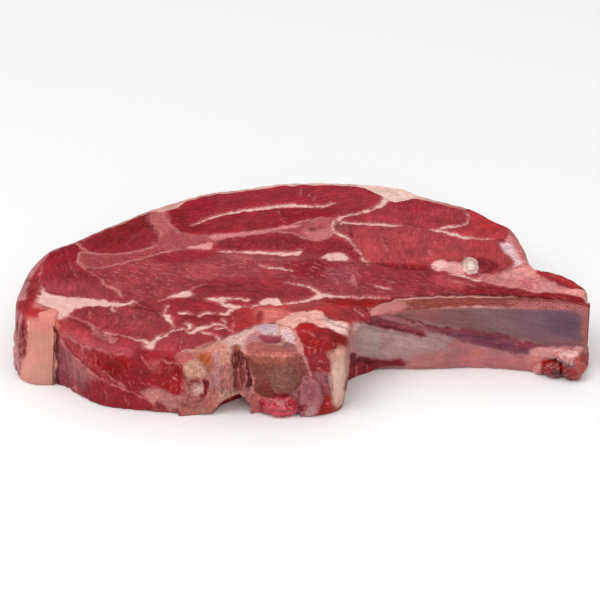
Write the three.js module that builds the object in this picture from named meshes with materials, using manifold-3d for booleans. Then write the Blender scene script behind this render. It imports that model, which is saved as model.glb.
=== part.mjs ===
// A bone-in mutton shoulder chop: one thick slice sawn across the shoulder, so that its flat faces show
// the blade bone with its ridge, the shoulder muscles parted by seams of fat, one rib along the front
// right and half a backbone at the front. Millimetres, +Z up. The origin is on the resting plane, under
// the middle of the chop's length and depth; +X runs towards the sawn end of the rib and -Y towards the
// backbone's sawn face.
import * as THREE from "three";
import { mergeVertices } from "three/addons/utils/BufferGeometryUtils.js";
import Module from "manifold-3d";

const wasm = await Module();
wasm.setup();

// Driving dimensions.
const THICKNESS = 26; // of the slice, sawn face to sawn face
const GAP = 0.3; // between neighbouring pieces
const SEAM_DEPTH = 0.7; // how far the fat seams lie below the muscles' cut faces
const SOFT_EDGE = 2.4; // how far the slice's upper edge rounds in
const LOWER_EDGE = 1.0; // and its lower edge
const BELLY = 0.7; // how far the side wall swells at half height
const STEP = 3.5; // spacing of the points along an outline
const REACH = 8; // how far a cutter runs past the slice
const SINEW_TOP = 24; // where the sinew on the neck muscle's side ends

// Outlines on the upper sawn face, as (x, y) control points of smooth closed curves. The slice's own
// outline has a third number: how far the wall leans in (or, if negative, out) on its way down.
const SLICE = [
  [-90, -37, -2], [-94.5, -33.5, -1.5], [-96.2, -27, 0], [-95.6, -16, 0], [-93, -1, 0], [-87.5, 9.5, 0],
  [-79.5, 15.5, 0], [-73, 22.5, 0], [-64, 30.5, 0], [-56, 38, 0], [-45, 45.7, 0], [-34, 52.5, 0],
  [-20, 56.2, 0], [-8, 60, 0], [5, 61, 0], [18, 60.4, 0], [30, 58.6, 0], [38, 56, 0], [43, 51.3, 0],
  [52, 46, 0], [62, 40, 0], [70, 30.5, 0], [75, 25, 0], [78.6, 11, 0], [81.5, -2.5, 0], [88, -5.5, 0],
  [94.5, -11.5, 0], [98, -18.5, 0], [96.8, -24, 0], [97.4, -32, -1], [88, -31.5, -1], [62, -30.2, 2],
  [42, -31.3, 2], [30, -34, 5], [22, -37.5, 7], [17, -42, 5], [16.4, -49, 2], [15.4, -55, 2],
  [11, -58.8, 2], [3, -60, 1], [-8, -59.8, 1.5], [-22, -59, 1.5], [-38, -58.6, 1], [-51, -56.6, 1],
  [-64, -51.6, -1.5], [-74, -45.6, -0.5], [-80, -40, 0], [-83, -36.5, -3],
];
const BLADE_BONE = [
  [-77, 8], [-77.6, 3], [-75.5, -2.5], [-70, -4], [-62, -1], [-53, 4], [-45, 8.6], [-38, 9.8], [-31.5, 9.8],
  [-30.5, 14], [-26, 18.2], [-17, 20.9], [-8, 22.4], [-2, 21], [2, 17.3], [7, 16.3], [11, 18.8],
  [12, 25], [13.4, 31.5], [9, 33.5], [3, 31.8], [-8, 25.6], [-20, 22.1], [-34, 19.8], [-41, 21.2],
  [-45, 26.2], [-48, 33.5], [-50.5, 37.5], [-54, 35], [-53, 28.5], [-50, 21.5], [-50.5, 14.5], [-56, 9],
  [-65, 6.8], [-72, 7],
];
const BACKBONE = [
  [-39.5, -64], [-37.5, -58], [-32, -56.5], [-26.5, -51.5], [-20, -46.5], [-13.5, -42], [-7.5, -41.2],
  [-3, -43.8], [-1.3, -50], [-0.6, -57], [-0.6, -64], [-20, -66],
];
const NECK_MUSCLE = [
  [-1.4, -46], [0, -41.8], [3.6, -41.2], [6, -43.6], [10, -45], [13.6, -48.8], [15.2, -53], [11.4, -54.6],
  [9.6, -58], [9, -64], [0.4, -64], [0, -57], [-0.9, -51],
];
const SINEW = [[8.8, -66], [8.8, -58], [11, -54.8], [14, -52.2], [20, -51], [22, -60], [16, -66]];
const TAN_FAT = [[-90.6, -30], [-90.4, -44], [-86, -50], [-81.7, -46], [-81.7, -33.4], [-86, -31]];
const SEAM_FAT = [
  [-88.4, -28], [-88.2, -20.5], [-84.5, -21.8], [-79, -23.9], [-71, -24.8], [-63, -27], [-57, -27.6],
  [-57.4, -29.3], [-64, -30.3], [-70.5, -29.8], [-75.6, -30.8], [-78, -34], [-80.4, -37], [-83, -33],
];
const BRISKET_FAT = [
  [84, 24], [75, 23], [72, 17.5], [71.4, 11], [73.6, 3.5], [72, -4.5], [66.5, -8.6], [61.5, -12.5],
  [69, -16.6], [77, -19.4], [86, -21.2], [94.6, -23], [102, -23.6], [102, -20.6], [95, -20], [89, -17],
  [84.4, -12], [82.6, -6], [84, 0], [86, 10],
];
const BRISKET_TIP = [[82.4, 2], [83, -7], [86, -13], [90.4, -17.2], [95.6, -20.2], [104, -20.4], [104, 2]];
const VEIN = [[56.6, -1], [57.6, 3.2], [59.4, 4.2], [61.2, 2.4], [61.7, -3], [60.5, -7.6], [58, -7.6]];

// The muscles whose cut faces show between the seams.
const MUSCLES = {
  infraspinatus: [
    [-48, 36], [-45.6, 28.6], [-41, 22], [-33, 20.6], [-20, 23], [-8, 26.4], [4, 33.4], [13, 34.6],
    [24, 39], [29.5, 47], [26, 54], [16, 59.2], [4, 60.2], [-10, 57], [-22, 53.6], [-34, 50.6], [-43, 44.6],
  ],
  supraspinatus: [
    [-75, 15], [-74.2, 9], [-67, 7.7], [-57.5, 9.4], [-51.4, 14.6], [-51, 22], [-54.4, 28], [-56, 33.6],
    [-64.5, 29], [-71.6, 21.6],
  ],
  trapezius: [
    [-94.6, -14], [-92, 0], [-90.4, 2.6], [-89.8, -8], [-88.8, -20], [-89.6, -33], [-93.6, -31.6], [-95.2, -25],
  ],
  rhomboideus: [
    [-89.4, 3], [-86, 9], [-79.6, 13.4], [-77.6, 9], [-78.4, 2], [-76, -4], [-69, -11], [-63.6, -17.4],
    [-61.8, -24.4], [-67, -25.4], [-77, -23.4], [-85, -20.8], [-88.4, -15], [-89, -6],
  ],
  serratus: [
    [-73, -6], [-62, -2.4], [-52, 3.2], [-44, 7.6], [-34, 8.4], [-26, 4.4], [-12, 2.2], [4, 1.2], [18, 0],
    [24, -3.4], [10, -12], [4, -19.4], [1, -24.6], [-10, -25.6], [-24, -24], [-35.6, -22.6], [-38, -17.8],
    [-48, -24], [-58, -26], [-60.8, -20], [-66, -12.4],
  ],
  intercostal_band: [
    [26.5, -3], [36, -4.6], [45, -7], [56, -12.2], [67, -17], [78, -20.6], [92, -23.6], [94.6, -26.4],
    [78, -24.6], [60, -23.4], [42, -23.6], [26, -22.6], [12, -21.8], [6, -18.6], [13, -11.4],
  ],
  subscapularis: [
    [-29.4, 11.6], [-25, 16.8], [-15, 20.2], [-6, 21], [0.4, 17.4], [6.6, 14.8], [12.6, 17.4], [16, 14.4],
    [20.8, 5.6], [20.6, 1], [10, 2.4], [1, 3.4], [-1.6, 8.6], [-16, 9.6],
  ],
  coracoid_muscle: [[12.8, 23.4], [12.8, 27.6], [15.4, 29.2], [17.8, 26.6], [17, 23.2], [14.6, 21.6]],
  teres_major: [
    [16, 32], [26, 30.8], [37, 29.4], [48, 25.8], [56, 28.6], [59.8, 33], [57.4, 40.6], [49, 46.2],
    [41, 48.4], [34.6, 45.4], [29.6, 39.6], [22, 35.8],
  ],
  latissimus: [
    [21.6, 25.6], [29, 27.6], [39, 26], [48.6, 22.8], [57, 18.2], [66.6, 17], [70.4, 9], [72.4, 2],
    [67.4, -6.6], [63, -5.6], [62.6, 2.8], [59.4, 5.6], [56, 2.4], [46.6, 1.6], [44.6, -4.4], [34, -3], [25.4, -0.2],
    [22.2, 8], [19.2, 18.6],
  ],
  outer_strip: [
    [61, 38.6], [64, 36.6], [70, 28.4], [73.4, 23], [71, 17.6], [61, 19.4], [54, 23.4], [58.6, 27], [61.6, 31.4],
  ],
  longissimus: [
    [-76.4, -34], [-73.6, -30.8], [-66, -31], [-58, -30.2], [-50.6, -33.8], [-45, -40.4], [-43, -45.4],
    [-48, -50.4], [-57, -50.8], [-65, -46.8], [-71.8, -39.6],
  ],
  flank_wedge: [
    [-79, -39.2], [-76, -37.8], [-70.6, -43], [-63, -49.2], [-52, -53.4], [-50, -56], [-64, -50.8], [-74, -44.8],
  ],
  multifidus: [
    [-46, -51.4], [-41.6, -46.6], [-36.6, -48.8], [-29, -49.4], [-28, -53], [-34.6, -57.4], [-44.6, -57.6],
  ],
  semispinalis: [[-43.6, -29], [-37, -25.6], [-30, -26.6], [-25.4, -29.8], [-31, -33.2], [-41.6, -33.4]],
  spinalis: [[-41.8, -36.6], [-33, -36], [-25.4, -36], [-27.6, -39], [-36, -41.6], [-41, -43.4]],
  rotator: [[-30.4, -46.8], [-26.6, -43.4], [-22.6, -44], [-23.6, -48], [-27.6, -48.6]],
  rib_head_muscle: [
    [-22, -33], [-16, -30.4], [-6, -29.4], [6, -26.6], [20, -24.8], [31, -24.8], [24.6, -29], [14, -32],
    [4, -33], [-6, -37], [-11, -40], [-18, -44.6], [-22.4, -42],
  ],
};

// The rib is a flat bar that the saw met at a slant, so it deepens towards its sawn end.
const RIB = { x0: 24.5, x1: 99, back: -24.4, front: -40, tipDepth: 2, endDepth: 16, sections: 14 };
// The spinal canal is a groove in the backbone's sawn face, wide at the foot, and a round gristle pad
// shows beside it, under the neck muscle.
const CANAL = {
  x: -23.4, y: -54, footRadius: 6.4, headRadius: 2.2, headX: -20, headY: -58.4, deepen: 1.1, openFront: 3, sides: 20,
};
const HOLLOWS = [[-35, -60, 13.5, 2.4, 3, 1.9], [-31.4, -59.4, 10.4, 1.7, 3, 3.4]];
const GRISTLE = [2.2, -59.6, 8, 3.3, 3.6, 7];
// Torn scraps, each a lump: centre and radius.
const LEFT_SCRAPS = [[-93.6, -34, 13.4, 4.1], [-93, -35.6, 7.6, 4.6], [-92.4, -34.4, 18.4, 3.4]];
const RIB_END_SCRAPS = [[92.5, -35, 4, 4], [87, -33.6, 3.4, 3.4], [90.6, -33, 7.6, 4], [82.6, -31.4, 2.6, 2.6]];
const FOOT_SCRAPS = [[-3.4, -57.4, 2.6, 3], [-7, -57.8, 3, 3.4], [-11, -57.2, 2.4, 2.8]];

// A smooth closed curve through control points, as evenly spaced points. A third number rides along.
function closedCurve(points, step = STEP) {
  const knots = points.map(([x, y, lean = 0]) => new THREE.Vector3(x, y, lean));
  const curve = new THREE.CatmullRomCurve3(knots, true, "centripetal");
  return curve.getSpacedPoints(Math.max(12, Math.round(curve.getLength() / step))).slice(0, -1);
}

// The same outline moved inwards by a distance that may depend on the point.
function inset(outline, distance) {
  const turn = Math.sign(THREE.ShapeUtils.area(outline));
  return outline.map((p, i) => {
    const before = outline.at(i - 1);
    const after = outline[(i + 1) % outline.length];
    const along = new THREE.Vector2(after.x - before.x, after.y - before.y).normalize();
    const d = typeof distance === "function" ? distance(p) : distance;
    return new THREE.Vector3(p.x - along.y * d * turn, p.y + along.x * d * turn, p.z);
  });
}

// A closed solid through rings of equal length, each a list of points in space.
function loft(given) {
  const flat = given[0].map((p) => p.cap ?? p);
  const clockwise = THREE.ShapeUtils.area(flat) < 0;
  const rings = clockwise ? given.map((ring) => ring.toReversed()) : given;
  const count = flat.length;
  const positions = rings.flat().flatMap((p) => [p.x, p.y, p.z]);
  const index = [];
  for (let r = 0; r + 1 < rings.length; r++) {
    for (let i = 0; i < count; i++) {
      const j = (i + 1) % count;
      const [a, b, c, d] = [r * count + i, r * count + j, (r + 1) * count + i, (r + 1) * count + j];
      index.push(a, b, d, a, d, c);
    }
  }
  const cap = THREE.ShapeUtils.triangulateShape(clockwise ? flat.toReversed() : flat, []);
  const last = (rings.length - 1) * count;
  for (const [a, b, c] of cap) index.push(a, c, b, last + a, last + b, last + c);
  return solid(positions, index);
}

function solid(positions, index) {
  const vertProperties = new Float32Array(positions);
  const triVerts = new Uint32Array(index);
  return new wasm.Manifold(new wasm.Mesh({ numProp: 3, vertProperties, triVerts }));
}

function fromGeometry(geometry) {
  geometry.deleteAttribute("normal");
  geometry.deleteAttribute("uv");
  const merged = mergeVertices(geometry, 1e-4);
  return solid([...merged.attributes.position.array], [...merged.index.array]);
}

const atHeight = (outline, z) => outline.map((p) => new THREE.Vector3(p.x, p.y, z));

// An upright prism with small bevels at both ends.
function prism(outline, z0, z1, bevel = 0) {
  if (!bevel) return loft([atHeight(outline, z0), atHeight(outline, z1)]);
  const small = inset(outline, bevel);
  const ends = [atHeight(small, z0), atHeight(outline, z0 + bevel)];
  return loft([...ends, atHeight(outline, z1 - bevel), atHeight(small, z1)]);
}

// The slice between two heights, with soft edges, a slight belly and the wall's lean.
function slice(z0, z1) {
  const outline = closedCurve(SLICE);
  const levels = [0, 0.05, 0.45, 0.84, 0.94, 1];
  const rings = levels.map((t) => {
    const lower = LOWER_EDGE * Math.max(0, 1 - t / 0.05) ** 2;
    const upper = SOFT_EDGE * Math.max(0, (t - 0.84) / 0.16) ** 2.2;
    const belly = BELLY * Math.sin(Math.PI * Math.min(1, t / 0.9));
    const ring = inset(outline, (p) => lower + upper - belly + p.z * (1 - t) ** 1.5);
    return atHeight(ring, z0 + (z1 - z0) * t);
  });
  return loft(rings);
}

// Small torn lumps, flattened at the resting plane.
function scraps(list, grow = 0) {
  const lumps = list.map(([x, y, z, radius]) => {
    const ball = new THREE.IcosahedronGeometry(radius + grow, 2);
    const at = ball.attributes.position;
    for (let i = 0; i < at.count; i++) {
      const wobble = 1 + 0.16 * Math.sin(at.getX(i) * 1.7 + z) * Math.cos(at.getZ(i) * 1.5 + x);
      at.setXYZ(i, x + at.getX(i) * wobble, y + at.getY(i) * wobble, Math.max(0, z + at.getZ(i) * wobble));
    }
    return fromGeometry(ball);
  });
  return wasm.Manifold.union(lumps);
}

function ellipsoid([x, y, z, rx, ry, rz], grow = 0) {
  const ball = new THREE.IcosahedronGeometry(1, 2);
  ball.scale(rx + grow, ry + grow, rz + grow);
  return fromGeometry(ball.translate(x, y, z));
}

// The rib's bar, with its back edge bowed and its foot bevelled.
function ribBar(grow = 0) {
  const rings = [];
  for (let i = 0; i <= RIB.sections; i++) {
    const t = i / RIB.sections;
    const x = RIB.x0 - grow + (RIB.x1 - RIB.x0 + grow) * t;
    const depth = RIB.tipDepth + (RIB.endDepth - RIB.tipDepth) * Math.sin((Math.PI / 2) * t) ** 1.2;
    const back = RIB.back - 8 * Math.max(0, 0.3 - t) ** 1.6 - 4.2 * Math.max(0, t - 0.5) ** 2 + grow;
    const foot = THICKNESS - depth - grow;
    const corners = [
      [RIB.front, THICKNESS + REACH], [RIB.front, foot + 0.6], [back - 4, foot], [back - 1.4, foot + 0.8],
      [back - 0.3, foot + Math.min(2.6, depth / 2)], [back, THICKNESS + REACH],
    ];
    rings.push(corners.map(([y, z]) => ({ x, y, z, cap: new THREE.Vector2(y, z) })));
  }
  return loft(rings);
}

// The spinal canal's groove and two small hollows in the arch beside it.
function hollows() {
  const ring = (x, y, radius, z) =>
    Array.from({ length: CANAL.sides }, (_, i) => {
      const a = (2 * Math.PI * i) / CANAL.sides;
      const stretch = Math.sin(a) > 0 ? CANAL.deepen : CANAL.openFront;
      return new THREE.Vector3(x + radius * Math.cos(a), y + stretch * radius * Math.sin(a), z);
    });
  const groove = loft([
    ring(CANAL.x, CANAL.y, CANAL.footRadius, -1),
    ring(CANAL.x, CANAL.y - 1.6, CANAL.footRadius - 1.8, 7),
    ring(CANAL.headX, CANAL.headY, CANAL.headRadius, THICKNESS - 3),
  ]);
  return wasm.Manifold.union([groove, ...HOLLOWS.map((hollow) => ellipsoid(hollow))]);
}

// The fat cap is the rim of the slice along the back, thick where two muscles part.
function capBand() {
  const along = closedCurve(SLICE, 2.5).filter((p) => p.y > 13 && p.x > -79 && p.x < 60);
  along.sort((a, b) => a.x - b.x);
  const bump = (x, centre, width, height) => height * Math.exp(-(((x - centre) / width) ** 2));
  const thickness = (x) => 1.9 + bump(x, -49, 6, 3.2) + bump(x, 33, 6.5, 8.5) + bump(x, -76, 3, 0.8);
  const outer = along.map((p) => new THREE.Vector3(p.x * 1.08, p.y * 1.08 + 3, 0));
  const inner = along.map((p, i) => {
    const a = along[Math.max(0, i - 1)];
    const b = along[Math.min(along.length - 1, i + 1)];
    const normal = new THREE.Vector2(b.y - a.y, a.x - b.x).normalize();
    return new THREE.Vector3(p.x + normal.x * thickness(p.x), p.y + normal.y * thickness(p.x), 0);
  });
  return [...outer, ...inner.reverse()];
}

const largest = (piece) => piece.decompose().sort((a, b) => b.volume() - a.volume())[0];

const upright =
  (outline, top = THICKNESS + REACH) =>
  (grow) =>
    prism(inset(outline, -grow), -REACH, top + grow);

// Every region other than the meat, in the order in which they take their share of the slice.
const regions = {
  blade_bone: { shape: upright(closedCurve(BLADE_BONE)), colour: 0xc88a84, roughness: 0.6 },
  rib_bone: { shape: ribBar, colour: 0xb08a8a, roughness: 0.45 },
  foot_scrap: { shape: (grow) => scraps(FOOT_SCRAPS, grow), colour: 0x9c2c2e, roughness: 0.3, standsOut: true },
  gristle: { shape: (grow) => ellipsoid(GRISTLE, grow), colour: 0xc09a96, roughness: 0.4 },
  backbone: { shape: upright(closedCurve(BACKBONE)), colour: 0xa8796c, roughness: 0.65 },
  sinew: { shape: upright(closedCurve(SINEW), SINEW_TOP), colour: 0xd8b4a4, roughness: 0.45 },
  neck_muscle: { shape: upright(closedCurve(NECK_MUSCLE)), colour: 0xa03a3c, roughness: 0.35 },
  tan_fat: { shape: upright(closedCurve(TAN_FAT)), colour: 0xdd9a84, roughness: 0.5 },
  seam_fat: { shape: upright(closedCurve(SEAM_FAT)), colour: 0xe2b4ac, roughness: 0.45 },
  brisket_fat: { shape: upright(closedCurve(BRISKET_FAT)), colour: 0xd99088, roughness: 0.45 },
  brisket_tip: { shape: upright(closedCurve(BRISKET_TIP)), colour: 0xa8434a, roughness: 0.35 },
  vein: { shape: upright(closedCurve(VEIN, 2)), colour: 0xe4c0b8, roughness: 0.4 },
  fat_cap: { shape: upright(capBand()), colour: 0xe0aaa2, roughness: 0.45 },
};

const chop = new THREE.Group();

function addPiece(name, piece, colour, roughness) {
  const { vertProperties, triVerts } = largest(piece).getMesh();
  const geometry = new THREE.BufferGeometry();
  geometry.setAttribute("position", new THREE.BufferAttribute(vertProperties, 3));
  geometry.setIndex(new THREE.BufferAttribute(triVerts, 1));
  geometry.computeVertexNormals();
  const material = new THREE.MeshStandardMaterial({ color: colour, roughness, metalness: 0 });
  const mesh = new THREE.Mesh(geometry, material);
  mesh.name = name;
  chop.add(mesh);
}

// The bones, fat layers and small parts take their regions of the slice, each clear of the ones before.
const carved = hollows();
const whole = slice(0, THICKNESS).subtract(carved);
let taken = wasm.Manifold.union([]);
for (const [name, { shape, colour, roughness, standsOut }] of Object.entries(regions)) {
  const region = shape(-GAP / 2);
  addPiece(name, (standsOut ? region : whole.intersect(region)).subtract(taken), colour, roughness);
  taken = taken.add(shape(GAP / 2));
}

// The meat: a web at the level of the seams, with each muscle standing a little proud of it.
const web = slice(SEAM_DEPTH, THICKNESS - SEAM_DEPTH).subtract(carved);
const pads = Object.values(MUSCLES).map((points) => prism(closedCurve(points), 0, THICKNESS, SEAM_DEPTH));
const muscles = wasm.Manifold.union(pads).intersect(whole);
const meat = wasm.Manifold.union([web, muscles, scraps(LEFT_SCRAPS), scraps(RIB_END_SCRAPS)]);
addPiece("meat", meat.subtract(taken), 0x96353b, 0.35);

export default chop;
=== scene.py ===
"""A raw bone-in mutton shoulder chop, dressed for its picture.

The chop is one thick slice sawn across a shoulder. Each muscle group, bone and layer of fat is a closed
piece of its own, cut from the same slice, so neighbours meet along the same outlines. Lengths are in
millimetres up to the last step, which puts them into the mesh in metres. +X runs to the rib's sawn end,
-Y to the backbone's sawn face and +Z up.
"""

from __future__ import annotations

import logging
from collections.abc import Callable, Sequence
from dataclasses import dataclass, field
from enum import Enum
from functools import partial

import bpy
import numpy as np
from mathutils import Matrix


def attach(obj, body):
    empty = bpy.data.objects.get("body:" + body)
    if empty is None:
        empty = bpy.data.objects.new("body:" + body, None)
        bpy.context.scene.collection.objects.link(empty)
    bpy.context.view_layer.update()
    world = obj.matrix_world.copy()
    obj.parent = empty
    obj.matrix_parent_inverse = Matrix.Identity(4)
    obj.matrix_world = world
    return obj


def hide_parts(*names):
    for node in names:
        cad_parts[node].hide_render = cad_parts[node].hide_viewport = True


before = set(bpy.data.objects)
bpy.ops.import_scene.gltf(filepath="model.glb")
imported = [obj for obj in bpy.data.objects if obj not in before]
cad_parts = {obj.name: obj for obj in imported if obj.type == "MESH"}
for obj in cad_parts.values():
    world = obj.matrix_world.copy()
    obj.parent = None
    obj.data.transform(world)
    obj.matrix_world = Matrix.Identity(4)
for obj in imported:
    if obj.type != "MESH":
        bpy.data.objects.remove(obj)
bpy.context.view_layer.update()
log = logging.getLogger("chop")

MM = 0.001
SHEEN = 0.017  # light that the moist surface adds to every tone, taken off it beforehand
FAR = 9.0  # distances to an outline are only worked out this close to it
GROUP = 5000  # how many points are measured against an outline at a time
THICKNESS = 26.0  # of the slice, from its lower sawn face to its upper one
OVERLAP = 0.03  # how far neighbouring pieces run into each other, so that no slit shows between them
Field = Callable[[np.ndarray], np.ndarray]
Box = tuple[float, float, float, float]
Outline = Sequence[tuple[float, float]]
Line = Sequence[tuple[float, float, float]]


def linear(colour: str) -> tuple[float, float, float]:
    """Turn an sRGB colour into a linear one, by the standard's straight foot and power of 2.4.

    Args:
        colour: Hex code, such as "#9a3038".

    Returns:
        Linear red, green and blue.
    """
    parts = np.array([int(colour[i : i + 2], 16) / 255 for i in (1, 3, 5)])
    straight = np.where(parts <= 0.04045, parts / 12.92, ((parts + 0.055) / 1.055) ** 2.4)
    return tuple(float(part) for part in straight)


def smooth(low: float, high: float, value: np.ndarray) -> np.ndarray:
    """Rise smoothly from 0 at low to 1 at high: 3t^2 - 2t^3 of the clipped share t."""
    share = np.clip((value - low) / (high - low), 0, 1)
    return share * share * (3 - 2 * share)


def smooth_curve(points: Sequence[Sequence[float]], step: float, closed: bool = True) -> np.ndarray:
    """Work out even points on the centripetal Catmull-Rom curve through control points.

    Each stretch blends its four nearest control points by the square root of their spacing. Numbers past
    x and y, such as a width, ride along.

    Args:
        points: Control points, x and y first.
        step: Spacing of the result.
        closed: Whether the curve returns to its start.

    Returns:
        The points as rows, without the repeated last one where the curve is closed.
    """
    knots = np.array(points, float)
    if closed:
        run = np.concatenate([knots[-1:], knots, knots[:2]])
    else:
        run = np.concatenate([2 * knots[:1] - knots[1:2], knots, 2 * knots[-1:] - knots[-2:-1]])
    p0, p1, p2, p3 = run[:-3, None], run[1:-2, None], run[2:-1, None], run[3:, None]

    def gap(a: np.ndarray, b: np.ndarray) -> np.ndarray:
        """Square root of the distance in plan."""
        return np.maximum(np.linalg.norm((b - a)[..., :2], axis=-1, keepdims=True), 1e-6) ** 0.5

    t1 = gap(p0, p1)
    t2 = t1 + gap(p1, p2)
    t3 = t2 + gap(p2, p3)
    steps = 16
    t = t1 + (t2 - t1) * np.linspace(0, 1, steps, endpoint=False)[None, :, None]
    a1 = ((t1 - t) * p0 + t * p1) / t1
    a2 = ((t2 - t) * p1 + (t - t1) * p2) / (t2 - t1)
    a3 = ((t3 - t) * p2 + (t - t2) * p3) / (t3 - t2)
    b1 = ((t2 - t) * a1 + t * a2) / t2
    b2 = ((t3 - t) * a2 + (t - t1) * a3) / (t3 - t1)
    dense = (((t2 - t) * b1 + (t - t1) * b2) / (t2 - t1)).reshape(-1, knots.shape[1])
    dense = np.concatenate([dense, knots[:1] if closed else knots[-1:]])
    along = np.concatenate([[0], np.cumsum(np.linalg.norm(np.diff(dense[:, :2], axis=0), axis=1))])
    count = max(6, round(along[-1] / step))
    stops = np.linspace(0, along[-1], count + 1)
    even = np.stack([np.interp(stops, along, column) for column in dense.T], 1)
    return even[:-1] if closed else even


def edge_distances(points: np.ndarray, starts: np.ndarray, ends: np.ndarray) -> tuple[np.ndarray, np.ndarray]:
    """Work out each point's distance to each edge.

    It is the distance to the edge's nearest place: the foot of the perpendicular, kept between the ends.

    Args:
        points: Places, as rows of x and y.
        starts: Where each edge starts.
        ends: Where it ends.

    Returns:
        The distances, points by edges, and the share of the edge before its nearest place.
    """
    edge = ends[:, :2] - starts[:, :2]
    reach = points[:, None] - starts[None, :, :2]
    share = np.clip((reach * edge).sum(-1) / np.maximum((edge**2).sum(-1), 1e-9), 0, 1)
    return np.linalg.norm(reach - share[..., None] * edge, axis=-1), share


def near_groups(points: np.ndarray, curve: np.ndarray, reach: float) -> list[np.ndarray]:
    """Number the points that lie in a curve's box grown by a reach.

    Args:
        points: Places, as rows of x and y.
        curve: The curve's points.
        reach: How far the box is grown.

    Returns:
        The numbers of those points, in groups of a few thousand.
    """
    low, high = curve[:, :2].min(0) - reach, curve[:, :2].max(0) + reach
    near = np.flatnonzero(np.all((points > low) & (points < high), axis=1))
    return [group for group in np.array_split(near, 1 + len(near) // GROUP) if len(group)]


def outline_field(curve: np.ndarray) -> Field:
    """Make the signed distance to a closed outline, positive inside.

    It is the distance to the nearest edge, with the sign from how many edges a ray to +X crosses.

    Args:
        curve: The outline's points.

    Returns:
        The field, no less than minus FAR.
    """
    starts, ends = curve[:, :2], np.roll(curve[:, :2], -1, axis=0)

    def distance(points: np.ndarray) -> np.ndarray:
        """Work out each point's signed distance.

        Args:
            points: Places, as rows of x and y.

        Returns:
            The distances.
        """
        result = np.full(len(points), -FAR)
        rise = ends[:, 1] - starts[:, 1]
        slant = (ends[:, 0] - starts[:, 0]) / np.where(rise == 0, 1e-9, rise)
        for group in near_groups(points, curve, FAR):
            chosen = points[group]
            nearest = edge_distances(chosen, starts, ends)[0].min(1)
            y = chosen[:, 1:2]
            spans = (starts[None, :, 1] > y) != (ends[None, :, 1] > y)
            crossed = spans & (chosen[:, :1] < starts[None, :, 0] + slant * (y - starts[None, :, 1]))
            result[group] = np.where(crossed.sum(1) % 2 == 1, nearest, -nearest)
        return np.clip(result, -FAR, None)

    return distance


def cut(body: Field, *others: Field, overlap: float = 0.0) -> Field:
    """Take regions out of a field.

    Args:
        body: The field.
        others: Fields of the regions.
        overlap: How far it still runs into them.

    Returns:
        The field of what is left.
    """

    def left_over(points: np.ndarray) -> np.ndarray:
        """The least of the body and each other's outside."""
        return np.min([body(points), *(overlap - other(points) for other in others)], axis=0)

    return left_over


def both(*parts: Field) -> Field:
    """Keep what lies in every field.

    Args:
        parts: The fields.

    Returns:
        The field that they share.
    """

    def shared(points: np.ndarray) -> np.ndarray:
        """The least of the parts."""
        return np.min([part(points) for part in parts], axis=0)

    return shared


def slope(body: Field, points: np.ndarray, step: float = 0.05) -> np.ndarray:
    """Work out a field's slope in x and y by central differences."""
    sides = [np.array([step, 0.0]), np.array([0.0, step])]
    return np.stack([body(points + side) - body(points - side) for side in sides], 1) / (2 * step)


def ripple(points: np.ndarray, wavelength: float, seed: int, waves: int = 14) -> np.ndarray:
    """Work out smooth unevenness of about unit size: a sum of sine waves of random direction and phase.

    Args:
        points: Places, of two or three numbers each.
        wavelength: The waves' middle length.
        seed: Seed of the draw.
        waves: How many there are.

    Returns:
        The sum at each place.
    """
    draw = np.random.default_rng(seed)
    course = draw.normal(size=(waves, points.shape[1]))
    course /= np.linalg.norm(course, axis=1, keepdims=True)
    course *= 2 * np.pi / (wavelength * draw.uniform(0.7, 1.5, (waves, 1)))
    return np.sin(points @ course.T + draw.uniform(0, 2 * np.pi, waves)).sum(1) / waves**0.5


def level(height: float, bumps: float = 0.0, seed: int = 0) -> Field:
    """Make a nearly level surface: a height with ripples of 5 mm on it.

    Args:
        height: Its middle height.
        bumps: Size of the ripples.
        seed: Seed of the ripples.

    Returns:
        Its height as a function of the place.
    """

    def surface(points: np.ndarray) -> np.ndarray:
        """Height at each place."""
        return height + bumps * ripple(points, 5.0, seed)

    return surface


# The slice and the regions of its parts, as control points in millimetres on the upper sawn face. The
# slice's outline has a third number: how far the wall leans in on its way down.
SLICE = [
    (-90, -37, -2), (-94.5, -33.5, -1.5), (-96.2, -27, 0), (-95.6, -16, 0), (-93, -1, 0), (-87.5, 9.5, 0),
    (-79.5, 15.5, 0), (-73, 22.5, 0), (-64, 30.5, 0), (-56, 38, 0), (-45, 45.7, 0), (-34, 52.5, 0), (-20, 56.2, 0),
    (-8, 59.97, 0), (5, 60.96, 0), (18, 60.4, 0), (30, 58.6, 0), (38, 56, 0), (43, 51.3, 0), (52, 46, 0), (62, 40, 0),
    (70, 30.5, 0), (75, 25, 0), (78.6, 11, 0), (81.5, -2.5, 0), (88, -5.5, 0), (94.5, -11.5, 0), (97.96, -18.5, 0),
    (96.8, -24, 0), (97.34, -32, -1), (88, -31.5, -1), (62, -30.2, 2), (42, -31.3, 2), (30, -34, 5), (22, -37.5, 7),
    (17, -42, 5), (16.4, -49, 2), (15.4, -55, 2), (11, -58.8, 2), (3, -60, 1), (-8, -59.8, 1.5), (-22, -59, 1.5),
    (-38, -58.6, 1), (-51, -56.6, 1), (-64, -51.6, -1.5), (-74, -45.6, -0.5), (-80, -40, 0), (-83, -36.5, -3),
]
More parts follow.
